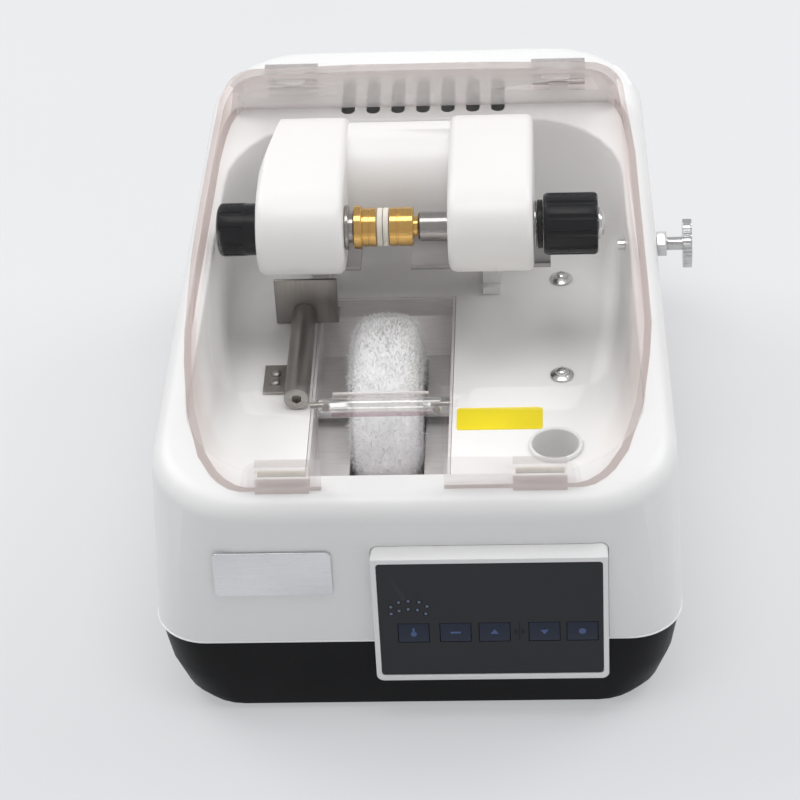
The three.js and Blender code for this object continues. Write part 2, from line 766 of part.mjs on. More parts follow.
add('wheel_spindle', spindle, steel);

// Pulleys, belt and motor
const pulleyRimRadius = pulleyRadius + beltThickness;
const motorRimRadius = motorPulleyRadius + beltThickness;
function pulleyProfile(inner, radius, rim) {
  return [[radius, pulleyStart + pulleyRim], [radius, pulleyEnd - pulleyRim], [rim, pulleyEnd - pulleyRim],
    [rim, pulleyEnd], [inner, pulleyEnd], [inner, pulleyStart], [rim, pulleyStart],
    [rim, pulleyStart + pulleyRim], [radius, pulleyStart + pulleyRim]];
}
add('wheel_pulley', turned('x', pulleyProfile(hubBore, pulleyRadius, pulleyRimRadius).reverse(),
  wheelY, wheelZ, smallSteps), steel);
const motorEnd = pulleyStart - motorEndGap;
const motorShaftStart = motorEnd - motorBoreDepth + fitGap;
add('motor_pulley', turned('x', [[0, motorShaftStart], [motorShaftRadius, motorShaftStart],
  [motorShaftRadius, pulleyStart], [motorRimRadius, pulleyStart], [motorRimRadius, pulleyStart + pulleyRim],
  [motorPulleyRadius, pulleyStart + pulleyRim], [motorPulleyRadius, pulleyEnd - pulleyRim],
  [motorRimRadius, pulleyEnd - pulleyRim], [motorRimRadius, pulleyEnd], [0, pulleyEnd]],
motorY, motorZ, smallSteps), steel);
function beltLoop(grow) {
  const first = pulleyRadius + grow;
  const second = motorPulleyRadius + grow;
  const spanY = motorY - wheelY;
  const spanZ = motorZ - wheelZ;
  const aim = Math.atan2(spanZ, spanY);
  const lean = Math.acos((first - second) / Math.hypot(spanY, spanZ));
  return [...arc(wheelY, wheelZ, first, aim + lean, aim + 2 * Math.PI - lean, 2 * arcSteps),
    ...arc(motorY, motorZ, second, aim - lean, aim + lean, 2 * arcSteps)];
}
const beltStart = pulleyStart + pulleyRim + fitGap;
const beltEnd = pulleyEnd - pulleyRim - fitGap;
const belt = prism(beltLoop(fitGap + beltThickness), 'x', beltStart, beltEnd);
add('drive_belt', belt.subtract(prism(beltLoop(fitGap), 'x', beltStart - fitGap, beltEnd + fitGap)),
  rubberBlack);
const motorStart = motorEnd - motorLength;
let motor = turned('x', [[0, motorStart], [motorRadius, motorStart], [motorRadius, motorEnd],
  [motorShaftRadius + fitGap, motorEnd], [motorShaftRadius + fitGap, motorEnd - motorBoreDepth],
  [0, motorEnd - motorBoreDepth]], motorY, motorZ);
const motorMiddle = (motorStart + motorEnd) / 2;
motor = motor.add(block(motorMiddle - cradleWidth / 2, motorMiddle + cradleWidth / 2,
  motorY - cradleDepth / 2, motorY + cradleDepth / 2, tubInside, motorZ - motorRadius / 2));
add('drive_motor', motor, darkSteel);

// Mains inlet in the rear wall
const inletFloorY = bodyRear - inletDepth + inletWall;
const inletMouthY = bodyRear + fitGap + inletFlangeThickness;
let inlet = block(inletX - inletWidth / 2, inletX + inletWidth / 2, bodyRear - inletDepth,
  bodyRear + fitGap + inletFlangeThickness / 2, inletLevel, inletLevel + inletHeight);
inlet = inlet.add(block(inletX - inletWidth / 2 - inletFlange, inletX + inletWidth / 2 + inletFlange,
  bodyRear + fitGap, inletMouthY, inletLevel - inletFlange, inletLevel + inletHeight + inletFlange));
inlet = inlet.subtract(block(inletX - inletWidth / 2 + inletWall, inletX + inletWidth / 2 - inletWall,
  inletFloorY, inletMouthY + inletWall, inletLevel + inletWall, inletLevel + inletHeight - inletWall));
for (const side of [-1, 0, 1]) {
  const x = inletX + side * inletPinSpacing;
  const z = inletLevel + inletHeight / 2;
  inlet = inlet.add(block(x - inletPinSide / 2, x + inletPinSide / 2, inletFloorY - inletWall / 2,
    bodyRear - inletWall, z - inletPinSide, z + inletPinSide));
}
add('mains_inlet', inlet, blackPlastic);

// Carriage cover: two arms joined by a drum round the pivot
function armSide(wall) {
  const nose = armNoseRadius - wall;
  const back = armRearRadius - wall;
  const low = wall > 0 ? armBottom - wall : armBottom;
  const points = arc(chuckY, chuckZ, nose, -Math.PI / 2, -1.5 * Math.PI);
  points.push(...arc(pivotY, chuckZ + armNoseRadius - armRearRadius, back, Math.PI / 2, 0));
  points.push([pivotY + back, low]);
  if (wall > 0) points.push([chuckY, low]);
  return points;
}
function drumSide(wall) {
  const radius = drumRadius - wall;
  const low = armBottom - wall;
  return [[pivotY - radius, low], ...arc(pivotY, pivotZ, radius, Math.PI, 0, 2 * arcSteps),
    [pivotY + radius, low]];
}
function leftPlan(wall) {
  const front = chuckY - 2 * armNoseRadius;
  const rear = pivotY + 2 * armRearRadius;
  return [[armLeftOuter + wall, front], [armLeftOuter + wall, armTaperStart],
    [armLeftOuter + armTaper + wall, armTaperEnd], [armLeftOuter + armTaper + wall, rear],
    [armRightOuter, rear], [armRightOuter, front]];
}
const planLow = trayFloorHeight;
const planHigh = chuckZ + 2 * armNoseRadius;
let cover = prism(armSide(0), 'x', armLeftOuter, armLeftInner, armEdgeRadius);
cover = cover.add(prism(armSide(0), 'x', armRightInner, armRightOuter, armEdgeRadius));
cover = cover.add(prism(drumSide(0), 'x', armLeftInner - 2 * armEdgeRadius,
  armRightInner + 2 * armEdgeRadius));
cover = cover.intersect(prism(leftPlan(0), 'z', planLow, planHigh));
let coverHollow = prism(armSide(coverWall), 'x', armLeftOuter + coverWall, armLeftInner - coverWall);
coverHollow = coverHollow.add(prism(armSide(coverWall), 'x', armRightInner + coverWall,
  armRightOuter - coverWall));
coverHollow = coverHollow.add(prism(drumSide(coverWall), 'x', armLeftInner - 2 * armEdgeRadius - coverWall,
  armRightInner + 2 * armEdgeRadius + coverWall));
coverHollow = coverHollow.intersect(prism(leftPlan(coverWall), 'z', planLow, planHigh));
cover = cover.subtract(coverHollow);
cover = cover.subtract(rod('x', spigotRadius + runGap, armLeftOuter - coverWall,
  armLeftOuter + 2 * coverWall, chuckY, chuckZ, smallSteps));
cover = cover.subtract(rod('x', leftShaftRadius + runGap, armLeftInner - 2 * coverWall,
  armLeftInner + coverWall, chuckY, chuckZ));
cover = cover.subtract(rod('x', quillRadius + runGap, armRightInner - coverWall,
  armRightInner + 2 * coverWall, chuckY, chuckZ));
cover = cover.subtract(rod('x', screwRodRadius + runGap, armRightOuter - 2 * coverWall,
  armRightOuter + coverWall, chuckY, chuckZ, smallSteps));
add('carriage_cover', cover, whiteShell);

// Carriage frame: a plate with two ears that hang on the axle
const frameTop = armBottom - fitGap;
const frameLow = frameTop - framePlateThickness;
let frame = block(armLeftOuter, armRightOuter - frameMargin, framePlateFront, framePlateRear,
  frameLow, frameTop);
frame = frame.intersect(prism(leftPlan(frameMargin), 'z', planLow, planHigh));
frame = frame.add(block(armRightOuter - 2 * frameMargin, armRightOuter + frameTabReach, framePlateFront,
  framePlateFront + frameTabDepth, frameLow, frameTop));
frame = frame.subtract(block(frameNotchLeft, frameNotchRight, framePlateFront - frameMargin,
  frameNotchRear, frameLow - frameMargin, frameTop + frameMargin));
for (const x of [pedestalLeftX, pedestalRightX]) {
  frame = frame.subtract(block(x - pedestalThickness / 2 - runGap, x + pedestalThickness / 2 + runGap,
    pivotY - pedestalDepth / 2 - pedestalSwing, framePlateRear + frameMargin, frameLow - frameMargin,
    frameTop + frameMargin));
}
const earSide = [[pivotY - earDepth / 2, frameLow + frameMargin],
  [pivotY - earDepth / 2, pivotZ], ...arc(pivotY, pivotZ, earDepth / 2, Math.PI, 0),
  [pivotY + earDepth / 2, frameLow + frameMargin]];
for (const x of [earLeftX, earRightX]) {
  frame = frame.add(prism(earSide, 'x', x, x + earThickness));
  frame = frame.subtract(rod('x', axleRadius + fitGap, x - fitGap, x + earThickness + fitGap,
    pivotY, pivotZ, smallSteps));
}
add('carriage_frame', frame, steel);
add('carriage_axle', rod('x', axleRadius, earLeftX - axleOverhang, earRightX + earThickness + axleOverhang,
  pivotY, pivotZ, smallSteps), steel);
const pedestalBase = trayFloorHeight + fitGap;
const pedestalSide = [[pivotY - pedestalDepth / 2 - pedestalFootReach, pedestalBase],
  [pivotY - pedestalDepth / 2 - pedestalFootReach, pedestalBase + pedestalFoot],
  [pivotY - pedestalDepth / 2, pedestalBase + pedestalFoot],
  ...arc(pivotY, pivotZ, pedestalDepth / 2, Math.PI, 0),
  [pivotY + pedestalDepth / 2, pedestalBase + pedestalFoot],
  [pivotY + pedestalDepth / 2 + pedestalFootReach, pedestalBase + pedestalFoot],
  [pivotY + pedestalDepth / 2 + pedestalFootReach, pedestalBase]];
for (const [name, x] of [['left', pedestalLeftX], ['right', pedestalRightX]]) {
  const post = prism(pedestalSide, 'x', x - pedestalThickness / 2, x + pedestalThickness / 2);
  add(`pivot_post_${name}`, post.subtract(rod('x', axleRadius + fitGap, x - pedestalThickness,
    x + pedestalThickness, pivotY, pivotZ, smallSteps)), whiteShell);
}

// Left knob, shaft and brass pad
const leftKnobStart = armLeftOuter - runGap;
const leftBoreEnd = leftKnobEnd + leftKnobDome + 2 * leftKnobChamfer;
let leftKnob = turned('x', [[0, leftKnobEnd], [leftKnobRadius - 2 * leftKnobChamfer,
  leftKnobEnd + leftKnobDome / 2], [leftKnobRadius - leftKnobChamfer / 2, leftKnobEnd + leftKnobDome],
[leftKnobRadius, leftKnobEnd + leftKnobDome + leftKnobChamfer], [leftKnobRadius, leftKnobStart],
[knobBoreRadius, leftKnobStart], [knobBoreRadius, leftBoreEnd], [0, leftBoreEnd]], chuckY, chuckZ);
for (let i = 0; i < fluteCount; i += 1) {
  const angle = (2 * Math.PI * i) / fluteCount;
  leftKnob = leftKnob.subtract(rod('x', fluteRadius, leftKnobEnd - fluteRadius,
    leftKnobEnd + (leftKnobStart - leftKnobEnd) * fluteShare, chuckY + leftKnobRadius * Math.cos(angle),
    chuckZ + leftKnobRadius * Math.sin(angle), arcSteps + 1));
}
add('left_knob', leftKnob, blackPlastic);
const leftShaftStart = armLeftOuter + coverWall + runGap;
const leftShaftEnd = leftChuckStart - fitGap;
const washerStart = armLeftInner + fitGap;
const washerEnd = washerStart + thrustWasherThickness;
add('left_shaft', turned('x', [[0, leftBoreEnd + fitGap], [spigotRadius, leftBoreEnd + fitGap],
  [spigotRadius, leftShaftStart], [leftShaftRadius, leftShaftStart], [leftShaftRadius, washerStart],
  [thrustWasherRadius, washerStart], [thrustWasherRadius, washerEnd], [leftShaftRadius, washerEnd],
  [leftShaftRadius, leftShaftEnd], [spigotRadius, leftShaftEnd],
  [spigotRadius, leftShaftEnd + spigotLength], [0, leftShaftEnd + spigotLength]], chuckY, chuckZ), steel);
const leftPadStart = leftChuckStart + collarWidth;
const leftPadEnd = leftPadStart + padWidth;
const leftPadBore = leftShaftEnd + spigotLength + fitGap;
add('left_pad', turned('x', [[0, leftPadBore], [knobBoreRadius, leftPadBore],
  [knobBoreRadius, leftChuckStart], [collarRadius, leftChuckStart], [collarRadius, leftPadStart],
  [padRadius, leftPadStart], [padRadius, leftPadEnd], [0, leftPadEnd]], chuckY, chuckZ), brass);
const leftFeltStart = leftPadEnd + fitGap;
const rightFeltStart = leftFeltStart + feltWidth + fitGap;
add('left_felt', rod('x', feltRadius, leftFeltStart, leftFeltStart + feltWidth, chuckY, chuckZ), felt);

// Right brass pad, sliding quill and clamp knob
const rightPadStart = rightFeltStart + feltWidth + fitGap;
const rightPadEnd = rightPadStart + rightPadWidth;
const neckEnd = quillStart - fitGap;
const pivotBore = neckEnd + spigotLength + 2 * fitGap;
add('right_felt', rod('x', feltRadius, rightFeltStart, rightFeltStart + feltWidth, chuckY, chuckZ), felt);
add('right_pad', turned('x', [[0, rightPadStart], [padRadius, rightPadStart], [padRadius, rightPadEnd],
  [neckRadius, rightPadEnd], [neckRadius, neckEnd], [spigotRadius, neckEnd],
  [spigotRadius, neckEnd + spigotLength], [0, neckEnd + spigotLength]], chuckY, chuckZ), brass);
add('quill', turned('x', [[0, pivotBore], [knobBoreRadius, pivotBore], [knobBoreRadius, quillStart],
  [quillRadius - quillChamfer, quillStart], [quillRadius, quillStart + quillChamfer],
  [quillRadius, quillEnd], [screwRodRadius + fitGap, quillEnd], [screwRodRadius + fitGap, quillBoreStart],
  [0, quillBoreStart]], chuckY, chuckZ), steel);
const ringStart = armRightOuter + fitGap;
const collarStart = ringStart + ringThickness + fitGap;
const clampKnobStart = collarStart + stopCollarWidth + fitGap;
const clampKnobEnd = clampKnobStart + clampKnobWidth;
const rodBore = screwRodRadius + fitGap;
add('clamp_ring', ringOnX(rodBore, ringRadius, ringStart, ringStart + ringThickness, chuckY, chuckZ), steel);
add('clamp_collar', ringOnX(rodBore, stopCollarRadius, collarStart, collarStart + stopCollarWidth,
  chuckY, chuckZ), blackPlastic);
let clampKnob = turned('x', [[rodBore, clampKnobStart], [clampKnobRadius, clampKnobStart],
  [clampKnobRadius, clampKnobEnd - clampKnobChamfer], [clampKnobRadius - clampKnobChamfer, clampKnobEnd],
  [rodBore, clampKnobEnd], [rodBore, clampKnobStart]], chuckY, chuckZ);
for (let i = 0; i < ribCount; i += 1) {
  const angle = (2 * Math.PI * (i + 0.5)) / ribCount;
  const reach = clampKnobRadius + ribGrooveRadius / 2;
  clampKnob = clampKnob.subtract(rod('x', ribGrooveRadius, clampKnobEnd - clampKnobWidth * ribGrooveShare,
    clampKnobEnd + ribGrooveRadius, chuckY + reach * Math.cos(angle), chuckZ + reach * Math.sin(angle),
    arcSteps + 3));
}
add('clamp_knob', clampKnob, blackPlastic);
const endWasherStart = clampKnobEnd + fitGap;
const endScrewStart = endWasherStart + endWasherThickness;
let endScrew = turned('x', [[0, screwRodStart], [screwRodRadius, screwRodStart],
  [screwRodRadius, endWasherStart], [endWasherRadius, endWasherStart],
  [endWasherRadius, endScrewStart], [endScrewRadius, endScrewStart],
  [endScrewRadius, endScrewStart + endScrewHeight / 3],
  [endScrewRadius * cupTopShare, endScrewStart + endScrewHeight],
  [0, endScrewStart + endScrewHeight]], chuckY, chuckZ);
const slotHalf = endScrewRadius * cupTopShare;
for (const [halfY, halfZ] of [[slotHalf, endScrewSlot / 2], [endScrewSlot / 2, slotHalf]]) {
  endScrew = endScrew.subtract(block(endScrewStart + endScrewHeight - crossDepth,
    endScrewStart + endScrewHeight + crossDepth, chuckY - halfY, chuckY + halfY, chuckZ - halfZ,
    chuckZ + halfZ));
}
add('clamp_screw', endScrew, steel);

// Stop plate and its bolt
const floorSeat = trayFloorHeight + fitGap;
const stopBack = stopPlateY + stopPlateThickness / 2;
const stopFace = stopPlateY - stopPlateThickness / 2;
const stopPlate = prism([[stopFace, floorSeat], [stopFace, stopPlateTop], [stopBack, stopPlateTop],
  [stopBack, floorSeat + stopPlateThickness], [stopBack + stopPlateFoot, floorSeat + stopPlateThickness],
  [stopBack + stopPlateFoot, floorSeat]], 'x', stopPlateLeft, stopPlateRight);
add('stop_plate', stopPlate, darkSteel);
add('stop_bolt', rod('z', stopBoltRadius, frameLow - fitGap - stopBoltLength, frameLow - fitGap,
  stopBoltX, stopPlateY, smallSteps), darkSteel);

// Tube on the tray floor with its plug and clip
const tubeZ = floorSeat + tubeRadius;
const tubeEnd = stopFace - fitGap;
const plugStart = tubeFront + 2 * fitGap;
const tube = turned('y', [[0, plugStart], [tubeBore, plugStart], [tubeBore, tubeFront],
  [tubeRadius, tubeFront], [tubeRadius, tubeEnd], [0, tubeEnd]], tubeX, tubeZ);
add('floor_tube', tube.subtract(rod('y', tubePlugHex, plugStart - fitGap, plugStart + tubePlugSocket,
  tubeX, tubeZ, 6)), darkSteel);
const clipRight = tubeX - tubeRadius - fitGap;
const clipX = (clipLeft + clipRight) / 2;
let clip = block(clipLeft, clipRight, clipFront, clipFront + clipDepth, floorSeat,
  floorSeat + clipThickness);
for (const step of [1, 2]) {
  const y = clipFront + (clipDepth * step) / 3;
  const z = floorSeat + clipThickness;
  clip = clip.add(turned('z', [[0, floorSeat], [clipScrewRadius, floorSeat],
    [clipScrewRadius, z + clipScrewHeight / 2], [clipScrewRadius * cupTopShare, z + clipScrewHeight],
    [0, z + clipScrewHeight]], clipX, y, smallSteps));
}
add('tube_clip', clip, darkSteel);

// Two floor screws in cup washers
floorScrewYs.forEach((y, i) => {
  const cupTop = floorSeat + cupHeight;
  let screw = turned('z', [[0, cupTop - screwShankLength], [screwShankRadius, cupTop - screwShankLength],
    [screwShankRadius, floorSeat], [cupRadius, floorSeat], [cupRadius * cupTopShare, cupTop],
    [screwHeadRadius, cupTop], [screwHeadRadius, cupTop + screwHeadHeight / 2],
    [screwHeadRadius * cupTopShare, cupTop + screwHeadHeight], [0, cupTop + screwHeadHeight]],
  floorScrewX, y);
  for (const [halfX, halfY] of [[crossLength / 2, crossWidth / 2], [crossWidth / 2, crossLength / 2]]) {
    screw = screw.subtract(block(floorScrewX - halfX, floorScrewX + halfX, y - halfY, y + halfY,
      cupTop + screwHeadHeight - crossDepth, cupTop + screwHeadHeight + crossDepth));
  }
  add(`floor_screw_${i + 1}`, screw, steel);
});

// Round port with a raised ring
const portLow = trayFloorHeight - portDepth;
add('port_cup', turned('z', [[0, portLow], [portSleeve, portLow], [portSleeve, floorSeat],
  [portRadius, floorSeat], [portRadius, floorSeat + portLip], [portInner, floorSeat + portLip],
  [portInner, portLow + portFloor], [0, portLow + portFloor]], portX, portY), whiteShell);

// Thumb screw through the right wall
const nutStart = halfWidth(thumbY - thumbNutRadius) + fitGap - shellDraft / 2;
const nutEnd = nutStart + thumbNutWidth;
const discStart = nutStart + thumbReach;
const discEnd = discStart + thumbDiscWidth;
const nut = ringOnX(thumbRodRadius + fitGap, thumbNutRadius, nutStart, nutEnd, thumbY, thumbZ, 6);
const nutBore = rod('x', thumbRodRadius + fitGap, nutStart - fitGap, nutEnd + fitGap, thumbY, thumbZ,
  smallSteps);
add('thumb_nut', nut.subtract(nutBore), steel);
const knurl = [];
for (let i = 0; i < 2 * thumbKnurlCount; i += 1) {
  const angle = (Math.PI * i) / thumbKnurlCount;
  const radius = thumbDiscRadius - (i % 2) * thumbKnurlDepth;
  knurl.push([thumbY + radius * Math.cos(angle), thumbZ + radius * Math.sin(angle)]);
}
add('thumb_screw', rod('x', thumbRodRadius, thumbInner, discEnd - fitGap, thumbY, thumbZ, smallSteps)
  .add(prism(knurl, 'x', discStart, discEnd)), steel);
add('thumb_tip', rod('x', thumbTipRadius, thumbInner - fitGap - thumbTipLength, thumbInner - fitGap,
  thumbY, thumbZ, smallSteps), steel);

// Clear lid as a row of arched sections
const flapAxisZ = deckHeight(flapAxisY) + flapAxisRise;
const lidFront = lidStations[0][0];
const lidRear = lidStations[lidStations.length - 1][0];
function lidSection(y, half, height, low) {
  const top = deckHeight(y) + height;
  const shoulder = Math.min(lidShoulder, height * lidShoulderShare);
  const topHalf = half - (height - shoulder) * lidLeanShare;
  const right = [[half, low]];
  for (let i = 0; i <= arcSteps; i += 1) {
    const angle = (Math.PI / 2) * (i / arcSteps);
    right.push([topHalf - shoulder + shoulder * Math.cos(angle), top - shoulder + shoulder * Math.sin(angle)]);
  }
  right.push([topHalf / 3, top + lidCrown]);
  const left = right.map((p) => [-p[0], p[1]]).reverse();
  return [...right, ...left].map((p) => [p[0], y, p[1]]);
}
const lidOuter = loft(lidStations.map(([y, half, rise]) =>
  lidSection(y, half, rise, deckHeight(y) + fitGap)));
const lidShrink = (lidRear - lidFront - 2 * lidWall) / (lidRear - lidFront);
const lidInner = loft(lidStations.map(([y, half, rise]) => {
  const inner = lidFront + lidWall + (y - lidFront) * lidShrink;
  const innerRise = deckHeight(y) + rise - lidWall - deckHeight(inner);
  return lidSection(inner, half - lidWall, innerRise, deckHeight(inner) - 2 * lidWall);
}));
let lid = lidOuter.subtract(lidInner);
for (const x of [notchLeft - lidEarWidth, notchRight]) {
  lid = lid.add(block(x, x + lidEarWidth, flapAxisY - lidEarDepth / 2, flapAxisY + lidEarDepth / 2,
    flapAxisZ - lidEarDrop, flapAxisZ + lidEarRise));
}
const lugSide = [[lugFront, deckHeight(lugFront) + fitGap], [lugRear, deckHeight(lugRear) + fitGap],
  [lugRear, deckHeight(lugRear) + lugHeight], [lugFront, deckHeight(lugFront) + lugHeight]];
for (const side of [-1, 1]) {
  const x = side * lugMiddle;
  lid = lid.add(prism(lugSide, 'x', x - lugWidth / 2, x + lugWidth / 2));
}
lid = lid.subtract(prism(roundedBox(notchLeft, notchRight, lidFront - lidShoulder, notchRear,
  notchCornerRadius), 'z', deckFrontHeight - lidWall, flapAxisZ + lidShoulder));
lid = lid.subtract(rod('x', flapPinRadius + fitGap, notchLeft - 2 * lidEarWidth,
  notchRight + 2 * lidEarWidth, flapAxisY, flapAxisZ, smallSteps));

// Rear hinges: a tall box with two outer knuckles on the lid and a middle one on each fixed block
const hingeAxisZ = deckHeight(hingeAxisY) + hingeAxisRise;
const middleHalf = (hingeWidth * hingeKnuckleShare) / 2;
const hingeBoxLow = hingeAxisZ + hingeRadius + runGap;
const hingeBoxRear = hingeAxisY - hingeBoxGap;
const lidSlopeY = lidStations[lidStations.length - 2][0];
for (const side of [-1, 1]) {
  const x = side * hingeMiddle;
  lid = lid.add(prism([[lidRear - lidWall / 2, hingeBoxLow], [hingeBoxRear, hingeBoxLow],
    [hingeBoxRear, hingeAxisZ + hingeBoxRise], [lidSlopeY - lidWall / 2, hingeAxisZ + hingeBoxRise]],
  'x', x - hingeWidth / 2, x + hingeWidth / 2));
  for (const [from, to] of [[x - hingeWidth / 2, x - middleHalf - fitGap],
    [x + middleHalf + fitGap, x + hingeWidth / 2]]) {
    lid = lid.add(rod('x', hingeRadius, from, to, hingeAxisY, hingeAxisZ, smallSteps));
    lid = lid.add(block(from, to, lidRear - lidWall / 2, hingeAxisY, hingeAxisZ - hingeRadius / 2,
      hingeAxisZ + hingeRadius / 2));
    lid = lid.add(block(from, to, lidRear - lidWall / 2, hingeBoxRear, hingeAxisZ, hingeBoxLow));
  }
  lid = lid.subtract(rod('x', hingePinRadius + fitGap, x - hingeWidth, x + hingeWidth,
    hingeAxisY, hingeAxisZ, smallSteps));
}
add('lid', lid, clear);
for (const [name, side] of [['left', -1], ['right', 1]]) {
  const x = side * hingeMiddle;
  const baseFront = hingeAxisY + hingeRadius + 2 * runGap;
  const base = prism([[baseFront, deckHeight(baseFront) + fitGap],
    [hingeBaseRear, deckHeight(hingeBaseRear) + fitGap],
    [hingeBaseRear, deckHeight(hingeBaseRear) + hingeBaseHeight],
    [baseFront, deckHeight(baseFront) + hingeBaseHeight]], 'x', x - hingeWidth / 2, x + hingeWidth / 2);
  const neck = prism([[hingeAxisY - hingeRadius / 2, deckHeight(hingeAxisY) + 2 * fitGap],
    [baseFront + hingeRadius, deckHeight(baseFront + hingeRadius) + fitGap],
    [baseFront + hingeRadius, deckHeight(baseFront + hingeRadius) + hingeBaseHeight],
    [hingeAxisY + hingeRadius / 2, hingeAxisZ], [hingeAxisY - hingeRadius / 2, hingeAxisZ]],
  'x', x - middleHalf, x + middleHalf);
  const knuckle = rod('x', hingeRadius, x - middleHalf, x + middleHalf, hingeAxisY, hingeAxisZ, smallSteps);
  const bore = rod('x', hingePinRadius + fitGap, x - hingeWidth, x + hingeWidth, hingeAxisY, hingeAxisZ,
    smallSteps);
  add(`hinge_block_${name}`, base.add(neck).add(knuckle).subtract(bore), clear);
  add(`hinge_pin_${name}`, rod('x', hingePinRadius, x - hingeWidth / 2, x + hingeWidth / 2,
    hingeAxisY, hingeAxisZ, smallSteps), steel);
}

// Clear flap over the front notch
const flapLeft = notchLeft + runGap;
const flapRight = notchRight - runGap;
let flap = prism([[flapFront, flapAxisZ - flapThickness / 2], [flapFront, flapAxisZ + flapThickness / 2],
  [flapRear - flapThickness / 2, flapAxisZ + flapThickness / 2], [flapRear, flapAxisZ - flapThickness / 2]],
'x', notchLeft + flapEndInset, notchRight - flapEndInset);
flap = flap.add(rod('x', flapBarrelRadius, flapLeft, flapRight, flapAxisY, flapAxisZ, smallSteps));
for (const x of [flapLeft, flapRight]) {
  flap = flap.subtract(rod('x', flapPinRadius + fitGap, x - flapPinDepth - fitGap, x + flapPinDepth + fitGap,
    flapAxisY, flapAxisZ, smallSteps));
}
add('lid_flap', flap, clear);
add('flap_pin_left', rod('x', flapPinRadius, notchLeft - lidEarWidth, flapLeft + flapPinDepth,
  flapAxisY, flapAxisZ, smallSteps), steel);
add('flap_pin_right', rod('x', flapPinRadius, flapRight - flapPinDepth, notchRight + lidEarWidth,
  flapAxisY, flapAxisZ, smallSteps), steel);

// The whole machine stands on the plane z = 0 with its box middle over the origin
const bounds = new THREE.Box3().setFromObject(root);
const middle = bounds.getCenter(new THREE.Vector3());
root.position.set(-middle.x, -middle.y, -bounds.min.z);
root.updateMatrixWorld(true);
export default root;
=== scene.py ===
# %% [markdown]
# A bench lens polishing machine: a white moulded body with a sunk tray, a black tub, a wool wheel, a
# tilting carriage that holds the lens between two pads, a key panel and a clear lid. The packed
# frame gives every piece its place; this file gives the pieces their finer shapes and finishes.

# %% Load the frame
import math
import random
import bpy
import bmesh
from mathutils import Matrix, Vector


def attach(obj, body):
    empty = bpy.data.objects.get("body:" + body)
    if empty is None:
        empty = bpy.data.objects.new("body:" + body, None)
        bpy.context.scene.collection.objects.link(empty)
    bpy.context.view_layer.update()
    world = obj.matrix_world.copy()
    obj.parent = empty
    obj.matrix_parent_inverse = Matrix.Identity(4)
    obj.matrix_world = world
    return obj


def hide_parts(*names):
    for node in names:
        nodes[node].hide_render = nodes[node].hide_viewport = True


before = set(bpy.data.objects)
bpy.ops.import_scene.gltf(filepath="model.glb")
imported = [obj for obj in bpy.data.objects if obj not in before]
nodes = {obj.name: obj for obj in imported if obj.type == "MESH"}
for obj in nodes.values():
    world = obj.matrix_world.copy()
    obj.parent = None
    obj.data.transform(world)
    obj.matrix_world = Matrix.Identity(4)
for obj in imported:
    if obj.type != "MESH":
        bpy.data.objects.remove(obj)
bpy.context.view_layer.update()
MM = 0.001
SHIFT = Vector((-6.02375, 2.35, 0.0))


def at(x, y, z):
    """A place given in the machine's own millimetres, turned into the frame's metres."""
    return (Vector((x, y, z)) + SHIFT) * MM


HALF_LENGTH = 200
DECK_FRONT = 139
DECK_RISE = 34.5


def deck_height(y):
    """Height of the sloped deck above the bench, in millimetres."""
    return DECK_FRONT + DECK_RISE * (y + HALF_LENGTH) / (2 * HALF_LENGTH)


# %% [markdown]
# The camera stands where the photographer stood: high in front, a little to the right, with a long
# lens. A long lens keeps the body's sides nearly parallel, so its place and its lens were worked
# out together from the corners of the body. The picture is rolled by three degrees, as the photo is.

# %% Camera
def aim_camera(place, pitch, yaw, roll, lens):
    e, s, r = (math.radians(v) for v in (pitch, yaw, roll))
    forward = Vector((-math.sin(s) * math.cos(e), math.cos(s) * math.cos(e), -math.sin(e)))
    right = Vector((math.cos(s), math.sin(s), 0))
    up = right.cross(forward)
    right_rolled = right * math.cos(r) - up * math.sin(r)
    up_rolled = right * math.sin(r) + up * math.cos(r)
    data = bpy.data.cameras.new("bench_camera")
    data.lens = lens
    data.sensor_width = 36
    data.clip_start = 0.05
    data.clip_end = 60
    camera = bpy.data.objects.new("bench_camera", data)
    turn = Matrix((right_rolled, up_rolled, -forward)).transposed().to_4x4()
    camera.matrix_world = Matrix.Translation(at(*place)) @ turn
    bpy.context.scene.collection.objects.link(camera)
    bpy.context.scene.camera = camera
    return camera


CAMERA_PLACE = (84.4, -1504.2, 1188.7)
PITCH, YAW, ROLL = 36.9, 3.8, 3.2
LENS = 148.5
aim_camera(CAMERA_PLACE, PITCH, YAW, ROLL, LENS)
print("camera at", [round(v, 3) for v in bpy.context.scene.camera.location])

# %% [markdown]
# Shader maths is easier to read as ordinary maths. A small class wraps one output of a node, so that
# adding or multiplying two wires adds the Math node that does it. A second class holds one finish:
# it makes the material, its main shader, and any other node by one method.

# %% Helpers for finishes
class Wire:
    """One output of a shader node that can be used in sums."""

    def __init__(self, finish, socket):
        self.finish = finish
        self.socket = socket

    def maths(self, operation, first, second):
        return self.finish.node("ShaderNodeMath", {"operation": operation}, {0: first, 1: second})

    def __add__(self, other):
        return self.maths("ADD", self, other)

    def __radd__(self, other):
        return self.maths("ADD", other, self)

    def __sub__(self, other):
        return self.maths("SUBTRACT", self, other)

    def __rsub__(self, other):
        return self.maths("SUBTRACT", other, self)

    def __mul__(self, other):
        return self.maths("MULTIPLY", self, other)

    def __rmul__(self, other):
        return self.maths("MULTIPLY", other, self)


